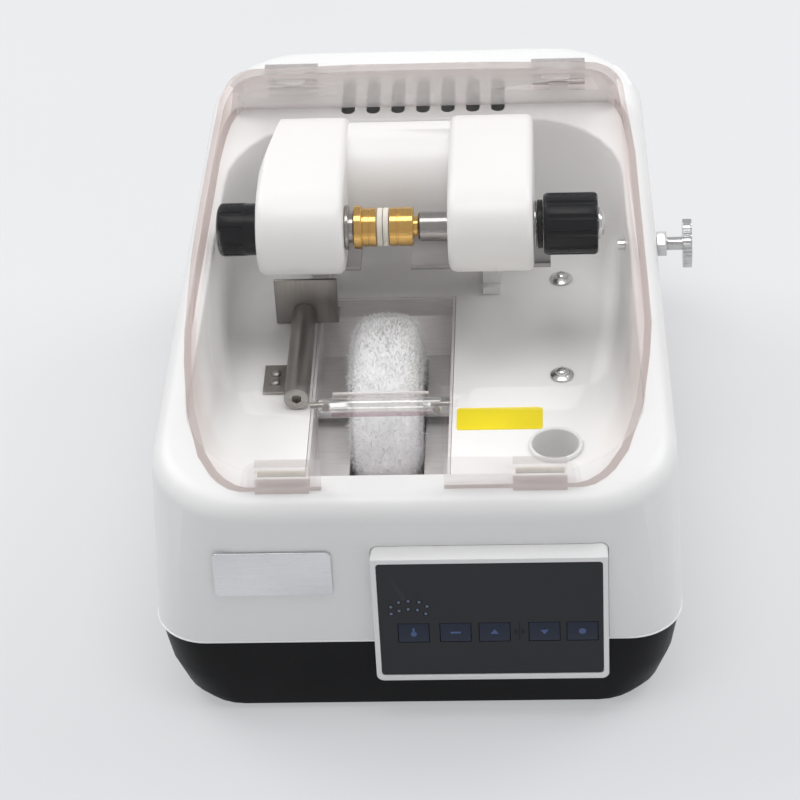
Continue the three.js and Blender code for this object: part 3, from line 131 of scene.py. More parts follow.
class Finish:
    """One material with its main shader."""

    def __init__(self, name, **constants):
        self.material = bpy.data.materials.new(name)
        self.material.use_nodes = True
        self.tree = self.material.node_tree
        self.tree.nodes.clear()
        self.out = self.tree.nodes.new("ShaderNodeOutputMaterial")
        self.main = self.tree.nodes.new("ShaderNodeBsdfPrincipled")
        self.tree.links.new(self.main.outputs[0], self.out.inputs["Surface"])
        for key, value in constants.items():
            self.main.inputs[key.replace("_", " ")].default_value = value

    def feed(self, socket, value):
        if isinstance(value, Wire):
            self.tree.links.new(value.socket, socket)
        else:
            socket.default_value = value

    def node(self, kind, settings=None, sockets=None, output=0):
        node = self.tree.nodes.new(kind)
        for key, value in (settings or {}).items():
            if key == "stops":
                ramp = node.color_ramp
                while len(ramp.elements) < len(value):
                    ramp.elements.new(0.5)
                for element, (place, colour) in zip(ramp.elements, value):
                    element.position = place
                    element.color = colour
            else:
                setattr(node, key, value)
        for key, value in (sockets or {}).items():
            self.feed(node.inputs[key], value)
        return Wire(self, node.outputs[output])

    def place(self, stretch=(1, 1, 1)):
        """Object coordinates, stretched so that a pattern runs along one direction."""
        coords = self.node("ShaderNodeTexCoord", output="Object")
        return self.node("ShaderNodeMapping", {}, {"Vector": coords, "Scale": stretch})

    def noise(self, scale, stretch=(1, 1, 1), detail=3.0, roughness=0.5):
        return self.node("ShaderNodeTexNoise", {}, {"Vector": self.place(stretch), "Scale": scale,
                         "Detail": detail, "Roughness": roughness}, "Fac")

    def blend(self, factor, dark, light):
        mix = self.tree.nodes.new("ShaderNodeMix")
        mix.data_type = "RGBA"
        self.feed(mix.inputs["Factor"], factor)
        self.feed(mix.inputs[6], (*dark, 1) if not isinstance(dark, Wire) else dark)
        self.feed(mix.inputs[7], (*light, 1) if not isinstance(light, Wire) else light)
        return Wire(self, mix.outputs[2])

    def between(self, wire, low, high):
        return self.node("ShaderNodeMapRange", {"clamp": True},
                         {"Value": wire, "From Min": 0.3, "From Max": 0.7, "To Min": low, "To Max": high})

    def bump(self, height, strength, distance):
        wire = self.node("ShaderNodeBump", {}, {"Height": height, "Strength": strength,
                         "Distance": distance})
        self.feed(self.main.inputs["Normal"], wire)

    def set(self, name, value):
        self.feed(self.main.inputs[name], value)


print("finish helpers ready")

# %% [markdown]
# The body is injection moulded and painted in a satin white. Up close such a coat has a faint
# orange-peel ripple and a little dust in its sheen, so the bump is very low and the roughness
# wanders by a few hundredths. The colour is kept just under white, so that highlights still show.

# %% White moulding
def white_finish(name, tone):
    finish = Finish(name, IOR=1.46)
    peel = finish.noise(520.0, detail=2.0)
    cloud = finish.noise(9.0, detail=4.0)
    dust = finish.noise(2600.0, detail=2.0)
    finish.set("Base Color", finish.blend(finish.between(cloud, 0.0, 1.0),
               tuple(v * 0.965 for v in tone), tone))
    finish.set("Roughness", finish.between(cloud, 0.27, 0.36) + dust * 0.05)
    finish.bump(peel * 0.7 + dust * 0.3, 0.12, 0.0004)
    return finish.material


white_shell = white_finish("white_shell_satin", (0.81, 0.81, 0.81))
white_cover = white_finish("white_cover_satin", (0.86, 0.86, 0.86))
# A brighter copy of the shell's white: painted light for the faces inside the tray.
tray_white_painted_light = white_finish("tray_white_painted_light_satin", (0.93, 0.925, 0.92))
print("white finishes made")

# %% [markdown]
# The tub and the knobs are black plastic. The tub has a fine spark-eroded grain, the knobs are
# smoother and catch long highlights on their ribs.

# %% Black plastics and rubber
def black_finish(name, tone, grain, rough, strength, shine=0.35):
    finish = Finish(name, IOR=1.5, Specular_IOR_Level=shine)
    fine = finish.noise(grain, detail=3.0)
    cloud = finish.noise(14.0, detail=3.0)
    finish.set("Base Color", finish.blend(finish.between(cloud, 0.0, 1.0), tone,
               tuple(v * 1.5 + 0.002 for v in tone)))
    finish.set("Roughness", finish.between(fine, rough - 0.06, rough + 0.08))
    finish.bump(fine, strength, 0.0003)
    return finish.material


tub_black = black_finish("tub_grained_black", (0.006, 0.0062, 0.007), 1700.0, 0.42, 0.3, 0.12)
knob_black = black_finish("knob_black", (0.004, 0.0045, 0.006), 1300.0, 0.25, 0.12, 0.16)
rubber_black = black_finish("rubber_black", (0.014, 0.014, 0.015), 2200.0, 0.8, 0.4)
print("black finishes made")

# %% [markdown]
# Metals differ by how they were worked. A turned shaft has fine rings round its axis, a brushed sheet
# has long straight lines, and a plated screw is nearly smooth. One recipe with a stretched noise
# gives all of them: the stretch sets which way the lines run.

# %% Metals
def metal_finish(name, tone, rough, stretch, strength=0.25, spread=0.12, stain=0.0, metal=1.0):
    finish = Finish(name, Metallic=metal)
    lines = finish.noise(1.0, stretch=stretch, detail=4.0, roughness=0.6)
    cloud = finish.noise(30.0, detail=4.0)
    dark = tuple(v * (0.82 - stain) for v in tone)
    finish.set("Base Color", finish.blend(finish.between(lines * 0.6 + cloud * 0.4, 0.0, 1.0), dark, tone))
    finish.set("Roughness", finish.between(lines, rough - spread / 2, rough + spread / 2))
    finish.bump(lines, strength, 0.0002)
    return finish.material


turned_steel = metal_finish("turned_steel", (0.42, 0.40, 0.39), 0.2, (2600, 60, 60))
turned_brass = metal_finish("turned_brass", (0.80, 0.49, 0.15), 0.17, (2200, 50, 50), 0.2)
brushed_steel = metal_finish("brushed_steel", (0.62, 0.63, 0.64), 0.3, (40, 2400, 2400), 0.3)
sheet_steel = metal_finish("sheet_steel_dull", (0.42, 0.395, 0.37), 0.36, (900, 900, 60), 0.3, 0.16, 0.1)
frame_steel = metal_finish("frame_steel_satin", (0.36, 0.35, 0.35), 0.4, (60, 900, 900), 0.15, 0.1)
plated_steel = metal_finish("plated_steel", (0.72, 0.72, 0.72), 0.2, (300, 300, 300), 0.08, 0.08)
plate_aluminium = metal_finish("plate_aluminium", (0.80, 0.81, 0.83), 0.3, (60, 3000, 3000), 0.22)
print("metal finishes made")

# %% [markdown]
# The panel is a printed film over a thin plate: dark grey, semi-gloss, with a very fine texture. The
# keys are the same film, only a shade bluer, so they are seen by their edges more than by colour.

# %% Panel films, label and circuit board
def film_finish(name, tone, rough, grain=2400.0, strength=0.12):
    finish = Finish(name, IOR=1.48, Specular_IOR_Level=0.3)
    fine = finish.noise(grain, detail=2.0)
    cloud = finish.noise(16.0, detail=3.0)
    finish.set("Base Color", finish.blend(finish.between(cloud, 0.0, 1.0),
               tuple(v * 0.9 for v in tone), tuple(v * 1.06 for v in tone)))
    finish.set("Roughness", finish.between(fine, rough - 0.05, rough + 0.06))
    finish.bump(fine, strength, 0.0002)
    return finish.material


panel_film = film_finish("panel_film", (0.020, 0.022, 0.026), 0.4)
key_film = film_finish("key_film", (0.014, 0.021, 0.042), 0.38)
mark_blue = film_finish("key_mark_blue", (0.075, 0.115, 0.26), 0.4)
mark_dark = film_finish("panel_mark_dark", (0.008, 0.008, 0.010), 0.45)
light_off = film_finish("panel_light_off", (0.13, 0.16, 0.24), 0.3)
label_yellow = film_finish("label_yellow", (0.90, 0.74, 0.012), 0.42)
board_green = film_finish("board_green", (0.02, 0.10, 0.05), 0.5)
print("film finishes made")

# %% [markdown]
# Felt and wool scatter light among their fibres. Felt gets a dense fine bump and a soft sheen. The
# colour of both follows the bump's noise and is darker where the bump sinks. The wool wheel is white,
# and its grey in the hollows between its locks is painted shade.

# %% Felt and wool
def fibre_finish(name, dark, light, grain, sheen, strength=0.5):
    finish = Finish(name, Roughness=0.95, Sheen_Weight=sheen)
    fibre = finish.noise(grain, detail=5.0, roughness=0.7)
    lock = finish.noise(grain / 9, detail=3.0)
    # Darker where the bump sinks; on the wool wheel this is painted shade in its hollows.
    finish.set("Base Color", finish.blend(finish.between(fibre * 0.4 + lock * 0.6, 0.0, 1.0), dark, light))
    finish.bump(fibre * 0.6 + lock * 0.4, strength, 0.0008)
    return finish.material


felt_pale = fibre_finish("felt_pale", (0.66, 0.62, 0.55), (0.83, 0.80, 0.73), 1600.0, 0.2)
wool_white = fibre_finish("wool_white", (0.89, 0.892, 0.91), (0.965, 0.965, 0.97), 900.0, 0.4, 0.12)
# The slot's pan is grey satin metal; its colour is lifted nearly to white as painted light, standing in for
# the light the deep slot does not get.
pan_painted_light = metal_finish("pan_satin_painted_light", (0.92, 0.885, 0.885), 0.42, (60, 900, 900), 0.1, 0.1, metal=0.25)
print("fibre finishes made")

# %% [markdown]
# The lid is clear moulded plastic about three millimetres thick. Straight on it lets nearly all the
# light through; where it is seen along its wall it turns pinkish and mirrors more of the room. The
# mirror's share is four per cent straight on and rises with the fifth power of the slope, alike on
# both faces of the wall, and a gain sets how much of it is kept. A veil makes a piece milky: the rear
# wall has the most, and there its milky white is painted reflection, standing in for the reflections
# that the steep wall shows.

# %% Clear plastic
def clear_finish(name, tint, rim, steep, gain=1.0, veil=0.0, rough=0.05, metal=1.0):
    """See-through plastic: tint straight on, rim along the wall, steep is how late the rim begins."""
    finish = Finish(name, Roughness=rough, Metallic=metal)
    finish.set("Base Color", (0.97, 0.96, 0.955, 1))
    haze = finish.noise(40.0, detail=4.0)
    ripple = finish.noise(26.0, detail=1.0)
    finish.bump(ripple, 0.05, 0.002)
    facing = finish.node("ShaderNodeLayerWeight", {}, {"Blend": 0.5}, "Facing")
    slope = finish.node("ShaderNodeMath", {"operation": "POWER"}, {0: facing, 1: steep})
    clear = finish.node("ShaderNodeBsdfTransparent", {}, {"Color": (*tint, 1)})
    tinted = finish.node("ShaderNodeBsdfTransparent", {}, {"Color": (*rim, 1)})
    body = finish.node("ShaderNodeMixShader", {}, {0: slope, 1: clear, 2: tinted})
    graze = finish.node("ShaderNodeMath", {"operation": "POWER"}, {0: facing, 1: 5.0})
    mix = finish.node("ShaderNodeMixShader", {}, {0: (graze * 0.96 + 0.04) * gain + (haze * 0.006 + veil),
                      1: body, 2: Wire(finish, finish.main.outputs[0])})
    finish.feed(finish.out.inputs["Surface"], mix)
    return finish.material


clear_lid = clear_finish("clear_lid", (1.0, 0.998, 0.996), (0.88, 0.81, 0.79), 3.2, gain=0.22)
# The rear wall's milky white is painted reflection.
clear_rear_painted_reflection = clear_finish("clear_lid_rear_painted_reflection", (0.99, 0.975, 0.965), (0.88, 0.83, 0.81), 2.0, gain=0.5,
                          veil=0.6, rough=0.35, metal=0.0)
clear_rim = clear_finish("clear_lid_rim", (0.84, 0.80, 0.79), (0.70, 0.63, 0.62), 1.2, gain=0.6,
                         veil=0.06, rough=0.2)
clear_edge = clear_finish("clear_lid_edge", (0.80, 0.70, 0.74), (0.62, 0.48, 0.54), 1.0, gain=0.5)
clear_block = clear_finish("clear_block", (0.975, 0.965, 0.96), (0.84, 0.79, 0.78), 2.2, gain=1.0, veil=0.12,
                           rough=0.12)
clear_bright = clear_finish("clear_bright_edge", (0.97, 0.965, 0.96), (0.88, 0.86, 0.86), 2.0,
                            veil=0.6, rough=0.2)
print("clear finishes made")

# %% [markdown]
# Most operators act on whatever is selected, so each helper first selects its one piece. `refine`
# welds a copy of a frame solid, merges its flat faces, rounds its edges a little and lets the copy
# stand for the solid. `lathe` draws half a section by extruding one vertex, then spins it round.

# %% Helpers for pieces
def only(piece):
    """Selects one object alone and makes it active."""
    if bpy.context.object and bpy.context.object.mode != "OBJECT":
        bpy.ops.object.mode_set(mode="OBJECT")
    bpy.ops.object.select_all(action="DESELECT")
    piece.select_set(True)
    bpy.context.view_layer.objects.active = piece


def edit(piece):
    only(piece)
    bpy.ops.object.mode_set(mode="EDIT")
    bpy.ops.mesh.select_all(action="SELECT")


def done():
    bpy.ops.object.mode_set(mode="OBJECT")


def dress(piece, finish, body, stands_for=()):
    """Gives a piece its finish, its body and the frame solids that it stands for."""
    piece.data.materials.clear()
    piece.data.materials.append(finish)
    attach(piece, body)
    if stands_for:
        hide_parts(*stands_for)
    return piece


def settle(piece, smooth=30, edge=0.0, segments=2):
    """Puts the object's place into its mesh, rounds its edges and smooths its shading."""
    only(piece)
    bpy.ops.object.transform_apply(location=True, rotation=True, scale=True)
    if edge > 0:
        modifier = piece.modifiers.new("edge", "BEVEL")
        modifier.width = edge * MM
        modifier.segments = segments
        modifier.limit_method = "ANGLE"
        modifier.angle_limit = math.radians(38)
        bpy.ops.object.modifier_apply(modifier=modifier.name)
    bpy.ops.object.shade_smooth_by_angle(angle=math.radians(smooth))
    return piece


def refine(node, finish, body, edge=0.0, smooth=32, flatten=0.4):
    source = nodes[node]
    piece = bpy.data.objects.new(node + "_shaped", source.data.copy())
    bpy.context.scene.collection.objects.link(piece)
    edit(piece)
    bpy.ops.mesh.remove_doubles(threshold=0.000004)
    bpy.ops.mesh.dissolve_limited(angle_limit=math.radians(flatten))
    done()
    settle(piece, smooth, edge)
    return dress(piece, finish, body, (node,))


def lathe(name, profile, y, z, steps=96, axis="X"):
    """Profile: (place along the axis, radius) in millimetres, from one end to the other."""
    turn = {"X": lambda a, r: at(a, y, z + r), "Y": lambda a, r: at(y, a, z + r),
            "Z": lambda a, r: at(y + r, z, a)}[axis]
    points = [turn(a, r) for a, r in profile]
    bpy.ops.object.select_all(action="DESELECT")
    bpy.ops.mesh.primitive_plane_add(size=0.001, location=points[0])
    piece = bpy.context.object
    piece.name = name
    bpy.ops.object.transform_apply(location=True, rotation=True, scale=True)
    edit(piece)
    bpy.ops.mesh.merge(type="CENTER")
    for before, after in zip(points, points[1:]):
        bpy.ops.mesh.extrude_vertices_move(TRANSFORM_OT_translate={"value": after - before})
    bpy.ops.mesh.select_all(action="SELECT")
    centre = {"X": at(0, y, z), "Y": at(y, 0, z), "Z": at(y, z, 0)}[axis]
    bpy.ops.mesh.spin(steps=steps, angle=2 * math.pi, center=centre,
                      axis={"X": (1, 0, 0), "Y": (0, 1, 0), "Z": (0, 0, 1)}[axis])
    bpy.ops.mesh.select_all(action="SELECT")
    bpy.ops.mesh.remove_doubles(threshold=0.00001)
    bpy.ops.mesh.normals_make_consistent(inside=False)
    done()
    return piece


def slab(name, x0, x1, y0, y1, z0, z1):
    """A box between two corners, as a start for shaping."""
    bpy.ops.object.select_all(action="DESELECT")
    middle = at((x0 + x1) / 2, (y0 + y1) / 2, (z0 + z1) / 2)
    bpy.ops.mesh.primitive_cube_add(size=1, location=middle)
    piece = bpy.context.object
    piece.name = name
    piece.scale = ((x1 - x0) * MM, (y1 - y0) * MM, (z1 - z0) * MM)
    bpy.ops.object.transform_apply(location=True, rotation=True, scale=True)
    return piece


def cut(piece, cutter, operation="DIFFERENCE"):
    """Cuts one piece with another and takes the cutter away."""
    only(piece)
    modifier = piece.modifiers.new("cut", "BOOLEAN")
    modifier.object = cutter
    modifier.operation = operation
    modifier.solver = "EXACT"
    bpy.ops.object.modifier_apply(modifier=modifier.name)
    bpy.data.objects.remove(cutter)
    return piece


def join(pieces, name):
    only(pieces[0])
    for piece in pieces:
        piece.select_set(True)
    if len(pieces) > 1:
        bpy.ops.object.join()
    pieces[0].name = name
    return pieces[0]


def paint(piece, finish, rule):
    """Gives a further finish to the faces that a rule picks by centre (mm) and normal."""
    piece.data.materials.append(finish)
    index = len(piece.data.materials) - 1
    picked = [face for face in piece.data.polygons if rule(face.center / MM - SHIFT, face.normal)]
    for face in picked:
        face.material_index = index
    return len(picked)


def sheet(name, corners, spot, thick):
    """A thin flat piece: spot turns an outline point into a place, thick is how far it is drawn."""
    bpy.ops.object.select_all(action="DESELECT")
    bpy.ops.mesh.primitive_circle_add(vertices=len(corners), fill_type="NGON", radius=0.001)
    piece = bpy.context.object
    piece.name = name
    for vertex, corner in zip(piece.data.vertices, corners):
        vertex.co = spot(*corner)
    edit(piece)
    bpy.ops.mesh.extrude_region_move(TRANSFORM_OT_translate={"value": [v * MM for v in thick]})
    bpy.ops.mesh.select_all(action="SELECT")
    bpy.ops.mesh.normals_make_consistent(inside=False)
    done()
    return piece


def round_box(u, v, wide, high, radius, steps=6):
    """Outline of a rectangle with round corners about a middle."""
    points = []
    for turn, (a, b) in enumerate(((1, 1), (-1, 1), (-1, -1), (1, -1))):
        for i in range(steps + 1):
            angle = math.pi / 2 * (turn + i / steps)
            points.append((u + a * (wide / 2 - radius) + radius * math.cos(angle),
                           v + b * (high / 2 - radius) + radius * math.sin(angle)))
    return points


def assign(names, finish):
    """Gives frame solids whose shape is already right their finish."""
    for name in names:
        nodes[name].data.materials.clear()
        nodes[name].data.materials.append(finish)


print("piece helpers ready")

# %% [markdown]
# The inner pieces are seen only through the tray slot, the vents or with the lid open. Their solids
# already have the right shape, so they only get a finish.

# %% Inner pieces
assign(["bearing_block_left", "bearing_block_right", "drive_motor"], sheet_steel)
assign(["pivot_post_left", "pivot_post_right"], white_cover)
assign(["wheel_pulley", "motor_pulley", "carriage_axle"], turned_steel)
assign(["drive_belt", "foot_front_left", "foot_front_right", "foot_rear_left", "foot_rear_right"],
       rubber_black)
assign(["key_board"], board_green)
assign(["mains_inlet"], knob_black)
print("inner pieces finished")

# %% [markdown]
# The shell is one moulding with the tray sunk into it. Its copy is welded so that the long lofted
# faces shade as one surface, and only its sharp edges stay sharp. The faces inside the tray get a
# slightly brighter copy of the same white as painted light, standing in for the light the deep tray lacks.
# They are picked by their middles, so the rule also takes in a few faces of the two outer rear
# corners. The shell's lower edge ends in a thin bright bead above the seam, swept along the body's
# outline and open behind the panel.

# %% Shell and tub
shell = refine("upper_shell", white_shell, "machine", smooth=40)
TRAY_FLOOR, TRAY_LIP = 84, 1.5
TRAY_SIDE, TRAY_FRONT, TRAY_REAR = 119, -167, 176
# The faces inside the tray get the brighter white as painted light.
tray_faces = paint(shell, tray_white_painted_light, lambda c, n: TRAY_FLOOR < c.z < deck_height(c.y) - TRAY_LIP
                   and abs(c.x) < TRAY_SIDE and TRAY_FRONT < c.y < TRAY_REAR)
tub = refine("lower_tub", tub_black, "machine", smooth=40)


HALF_WIDTH = 140
SIDE_TAPER = 15
SEAM_Z = 49.85
BEAD_RADIUS = 0.5


def body_outline(z, radius=28, steps=12):
    """The body's tapered plan with round corners, in the machine's own millimetres."""
    straight = HALF_LENGTH - radius
    points = []
    for turn, (a, b) in enumerate(((1, 1), (-1, 1), (-1, -1), (1, -1))):
        for i in range(steps + 1):
            angle = math.pi / 2 * (turn + i / steps)
            half = HALF_WIDTH - SIDE_TAPER * (b * straight + HALF_LENGTH) / (2 * HALF_LENGTH)
            points.append((a * (half - radius) + radius * math.cos(angle),
                           b * straight + radius * math.sin(angle), z))
    return points


def swept(name, points, radius):
    """A closed round bead along a ring of points."""
    curve = bpy.data.curves.new(name, "CURVE")
    curve.dimensions = "3D"
    curve.bevel_depth = radius * MM
    curve.bevel_resolution = 2
    line = curve.splines.new("POLY")
    line.points.add(len(points) - 1)
    for point, place in zip(line.points, points):
        point.co = (*at(*place), 1)
    line.use_cyclic_u = True
    piece = bpy.data.objects.new(name, curve)
    bpy.context.scene.collection.objects.link(piece)
    only(piece)
    bpy.ops.object.convert(target="MESH")
    return bpy.context.object


bead = swept("seam_bead", body_outline(SEAM_Z), BEAD_RADIUS)
cut(bead, slab("panel_gap", -21.5, 99.5, -212, -190, 48, 52))
dress(settle(bead, 60), white_cover, "machine", ())
print("shell faces", len(shell.data.polygons), "tray faces", tray_faces)
print("tub faces", len(tub.data.polygons), "bead faces", len(bead.data.polygons))

# %% [markdown]
# The carriage cover is two rounded arms on a drum. It keeps its solid's shape, with the edges
# softened as a moulding's are.

# %% Carriage cover and frame
refine("carriage_cover", white_cover, "carriage", smooth=40)
refine("carriage_frame", frame_steel, "carriage", edge=0.4)
STOP_X, STOP_Y = -75, 38
stop_bolt = lathe("stop_bolt_shaped", [(131.4, 0), (131.4, 3.2), (132.2, 4), (138.4, 4), (138.4, 0)],
                  STOP_X, STOP_Y, steps=32, axis="Z")
dress(settle(stop_bolt), sheet_steel, "carriage", ("stop_bolt",))
print("carriage cover and frame made")

# %% [markdown]
# The chuck is lathe work, so each piece is a spun profile with small chamfers that catch the light.
# The stations along the axis are the machine's own millimetres.

# %% Left side of the chuck
CHUCK_Y, CHUCK_Z = 12, 168


def chuck_piece(name, profile, finish, body, node):
    piece = lathe(name, profile, CHUCK_Y, CHUCK_Z)
    return dress(settle(piece, 25), finish, body, (node,))


chuck_piece("left_shaft_turned", [(-89.7, 0), (-89.7, 4), (-86.4, 4), (-86.4, 8.5), (-41.2, 8.5),
            (-41.2, 12.2), (-40.9, 12.5), (-39.5, 12.5), (-39.2, 12.2), (-39.2, 8.5), (-36.9, 8.5),
            (-36.8, 8.4), (-36.8, 0)], turned_steel, "left_chuck", "left_shaft")
chuck_piece("left_pad_turned", [(-36.5, 0), (-36.5, 11.6), (-35.9, 12.2), (-32.3, 12.2),
            (-31.8, 11.7), (-31.6, 10.3), (-31.2, 10.3), (-31.0, 10.85), (-28.2, 10.85), (-28.0, 10.5),
            (-27.4, 10.5), (-27.2, 10.85), (-24.1, 10.85), (-23.7, 10.4), (-23.7, 0)],
            turned_brass, "left_chuck", "left_pad")
chuck_piece("left_felt_disc", [(-23.4, 0), (-23.4, 10.1), (-23.0, 10.6), (-20.7, 10.6), (-20.3, 10.1),
            (-20.3, 0)], felt_pale, "left_chuck", "left_felt")
print("left chuck turned")

# %% [markdown]
# The right side mirrors the left: a felt disc, a brass pad with a neck, then the hollow quill and the
# clamp's ring and collar.

# %% Right side of the chuck
chuck_piece("right_felt_disc", [(-20.0, 0), (-20.0, 10.1), (-19.6, 10.6), (-17.3, 10.6), (-16.9, 10.1),
            (-16.9, 0)], felt_pale, "right_chuck", "right_felt")
chuck_piece("right_pad_turned", [(-16.6, 0), (-16.6, 10.4), (-16.2, 10.85), (-12.4, 10.85),
            (-12.2, 10.4), (-11.6, 10.4), (-11.4, 10.85), (-3.8, 10.85), (-3.2, 10.2), (-3.2, 5.5),
            (-1.1, 5.5), (-1.0, 0)], turned_brass, "right_chuck", "right_pad")
chuck_piece("quill_turned", [(-0.7, 0), (-0.7, 7.2), (0.4, 8.35), (45.6, 8.35), (46, 7.9),
            (46, 4.6), (17, 4.6), (17, 0)],
            turned_steel, "quill_body", "quill")
chuck_piece("clamp_ring_turned", [(63.3, 0), (63.3, 12.6), (63.6, 13), (64.3, 13), (64.6, 12.6),
            (64.6, 0)], turned_steel, "carriage", "clamp_ring")
chuck_piece("clamp_collar_turned", [(64.9, 0), (64.9, 12.9), (65.5, 13.5), (67.7, 13.5), (68.2, 13.0),
            (68.2, 0)], knob_black, "carriage", "clamp_collar")
print("right chuck turned")

# %% [markdown]
# Both knobs are moulded with grooves that leave ribs for the fingers. One round-ended groove cutter
# is made, copied round the axis, joined, and cut from the turned knob in one go.

# %% Knobs
def groove_ring(count, radius, reach, start, end, offset=0.0, sides=16):
    cutters = []
    for i in range(count):
        angle = 2 * math.pi * (i + offset) / count
        y = CHUCK_Y + reach * math.cos(angle)
        z = CHUCK_Z + reach * math.sin(angle)
        low, high = min(start, end), max(start, end)
        profile = [(low - radius, 0), (low - radius * 0.7, radius * 0.7), (low, radius),
                   (high, radius), (high + radius * 0.7, radius * 0.7), (high + radius, 0)]
        cutters.append(lathe("groove", profile, y, z, steps=sides))
    return join(cutters, "grooves")


left_knob = lathe("left_knob_fluted", [(-112.8, 0), (-112.6, 8), (-112.0, 11.5), (-111.2, 13.3),
                  (-110.2, 14.3), (-108.6, 14.75), (-96.4, 14.75), (-96.2, 14.45), (-90.4, 14.45),
                  (-90.1, 14.1), (-90.1, 0)], CHUCK_Y, CHUCK_Z, steps=120)
cut(left_knob, groove_ring(10, 1.35, 15.0, -120, -98.6))
dress(settle(left_knob, 30, 0.25), knob_black, "left_chuck", ("left_knob",))

clamp_knob = lathe("clamp_knob_ribbed", [(68.5, 0), (68.5, 15.8), (69.2, 16.6), (70.6, 17.2),
                   (96.4, 17.2), (97.8, 16.6), (98.5, 15.4), (98.5, 10.2), (97.9, 9.6), (97.9, 0)],
                   CHUCK_Y, CHUCK_Z, steps=144)
cut(clamp_knob, groove_ring(12, 2.1, 17.9, 72.6, 104, offset=0.5))
dress(settle(clamp_knob, 30, 0.3), knob_black, "clamp", ("clamp_knob",))
print("knobs", len(left_knob.data.polygons), len(clamp_knob.data.polygons))

# %% [markdown]
# The end of the clamp knob shows a plated washer and a cross-headed screw. The cross is two small
# boxes cut into the domed head.

# %% End screw of the clamp knob
end_screw = lathe("clamp_end_screw", [(30, 0), (30, 4), (98.2, 4), (98.8, 4), (98.8, 8.8), (99.0, 9.0),
                  (99.7, 9.0), (99.9, 8.8), (99.9, 7.0), (100.6, 7.0), (101.6, 5.9), (102.1, 4.2),
                  (102.3, 0)], CHUCK_Y, CHUCK_Z, steps=64)
cut(end_screw, slab("cross", 101.2, 103, CHUCK_Y - 3.6, CHUCK_Y + 3.6, CHUCK_Z - 0.6, CHUCK_Z + 0.6))
cut(end_screw, slab("cross", 101.2, 103, CHUCK_Y - 0.6, CHUCK_Y + 0.6, CHUCK_Z - 3.6, CHUCK_Z + 3.6))
dress(settle(end_screw, 30), plated_steel, "clamp", ("clamp_screw",))
print("end screw made")

# %% [markdown]
# The wheel is a disc of long white wool. A rolled-out disc with a lumpy rim gives its body, and
# some thousands of thin bent strands, each only a few faces, give the ragged outline. They are
# placed by a seeded random stream, so every run grows the same wheel.

# %% Wool wheel
WHEEL_X, WHEEL_Y, WHEEL_Z = -20.5, -22, 68
WOOL = [(-16.2, 6.3), (-16.4, 24.4), (-18.2, 27), (-18.8, 33), (-18.2, 40), (-16.2, 46), (-12.6, 49.8),
        (-7.5, 51.4), (0, 51.8), (7.5, 51.4), (12.6, 49.8), (16.2, 46), (18.2, 40), (18.8, 33), (18.2, 27),
        (16.4, 24.4), (16.2, 6.3)]
wheel_core = lathe("wool_core", [(WHEEL_X + x, r) for x, r in WOOL + WOOL[:1]], WHEEL_Y, WHEEL_Z, steps=160)
wool_lump = bpy.data.textures.new("wool_lump", "CLOUDS")
wool_lump.noise_scale = 0.006
only(wheel_core)
lumps = wheel_core.modifiers.new("lumps", "DISPLACE")
lumps.texture = wool_lump
lumps.strength = 0.001
lumps.mid_level = 0.8
bpy.ops.object.modifier_apply(modifier="lumps")


def wool_strands(count, seed):
    """Thin bent strands of wool that stand out from the wheel's rounded rim and faces."""
    rng = random.Random(seed)
    runs = list(zip(WOOL[2:-3], WOOL[3:-2]))
    weights = [math.dist(a, b) * (a[1] + b[1]) for a, b in runs]
    verts, faces = [], []
    for _ in range(count):
        (x0, r0), (x1, r1) = rng.choices(runs, weights)[0]
        share = rng.random()
        root = Vector((x0 + (x1 - x0) * share, 0, r0 + (r1 - r0) * share - 0.5))
        out = Vector((r0 - r1, 0, x1 - x0)).normalized()
        wisp = rng.random() < 0.06
        lean = (out + Vector((rng.gauss(0, 0.32), rng.gauss(0, 0.5), rng.gauss(0.1, 0.3)))).normalized()
        reach = 7.5 if abs(out.x) > 0.6 else 5.2
        lean *= rng.uniform(4.2, reach) if wisp else rng.uniform(2.0, 3.8)
        curl = Vector((rng.uniform(-0.8, 0.8), rng.uniform(-1.0, 1.0), rng.uniform(-0.6, 0.2)))
        wide = rng.uniform(0.07, 0.15)
        spin = Matrix.Rotation(rng.uniform(0, 2 * math.pi), 3, "X")
        twist = rng.uniform(0, 2 * math.pi)
        base = len(verts)
        for middle, thick in ((root, 1.0), (root + lean * 0.55 - curl * 0.3, 0.85)):
            for corner in range(3):
                angle = twist + corner * 2 * math.pi / 3
                verts.append(spin @ (middle + Vector((math.cos(angle), math.sin(angle), 0)) * wide * thick))
        verts.append(spin @ (root + lean + curl))
        faces.append((base + 2, base + 1, base))
        for corner in range(3):
            after = (corner + 1) % 3
            faces.append((base + corner, base + after, base + 3 + after, base + 3 + corner))
            faces.append((base + 3 + corner, base + 3 + after, base + 6))
    mesh = bpy.data.meshes.new("wool_strands")
    mesh.from_pydata([at(v.x + WHEEL_X, v.y + WHEEL_Y, v.z + WHEEL_Z) for v in verts], [], faces)
    mesh.update()
    piece = bpy.data.objects.new("wool_strands", mesh)
    bpy.context.scene.collection.objects.link(piece)
    return piece


STRAND_COUNT, WOOL_SEED = 19500, 7
strands = wool_strands(STRAND_COUNT, WOOL_SEED)
dress(settle(wheel_core, 60), wool_white, "wheel", ("wool_wheel",))
dress(settle(strands, 180), wool_white, "wheel", ())
assign(["wheel_spindle"], brushed_steel)
# The pan's near-white colour is painted light for the deep slot.
assign(["slot_liner"], pan_painted_light)
print("wool strands", len(strands.data.polygons))

# %% [markdown]
# The fittings on the tray floor are plain hardware: a bent stop plate, a tube with a hex socket in
# its end, a clip with two pan heads, two cross-headed screws in cup washers and a round port.

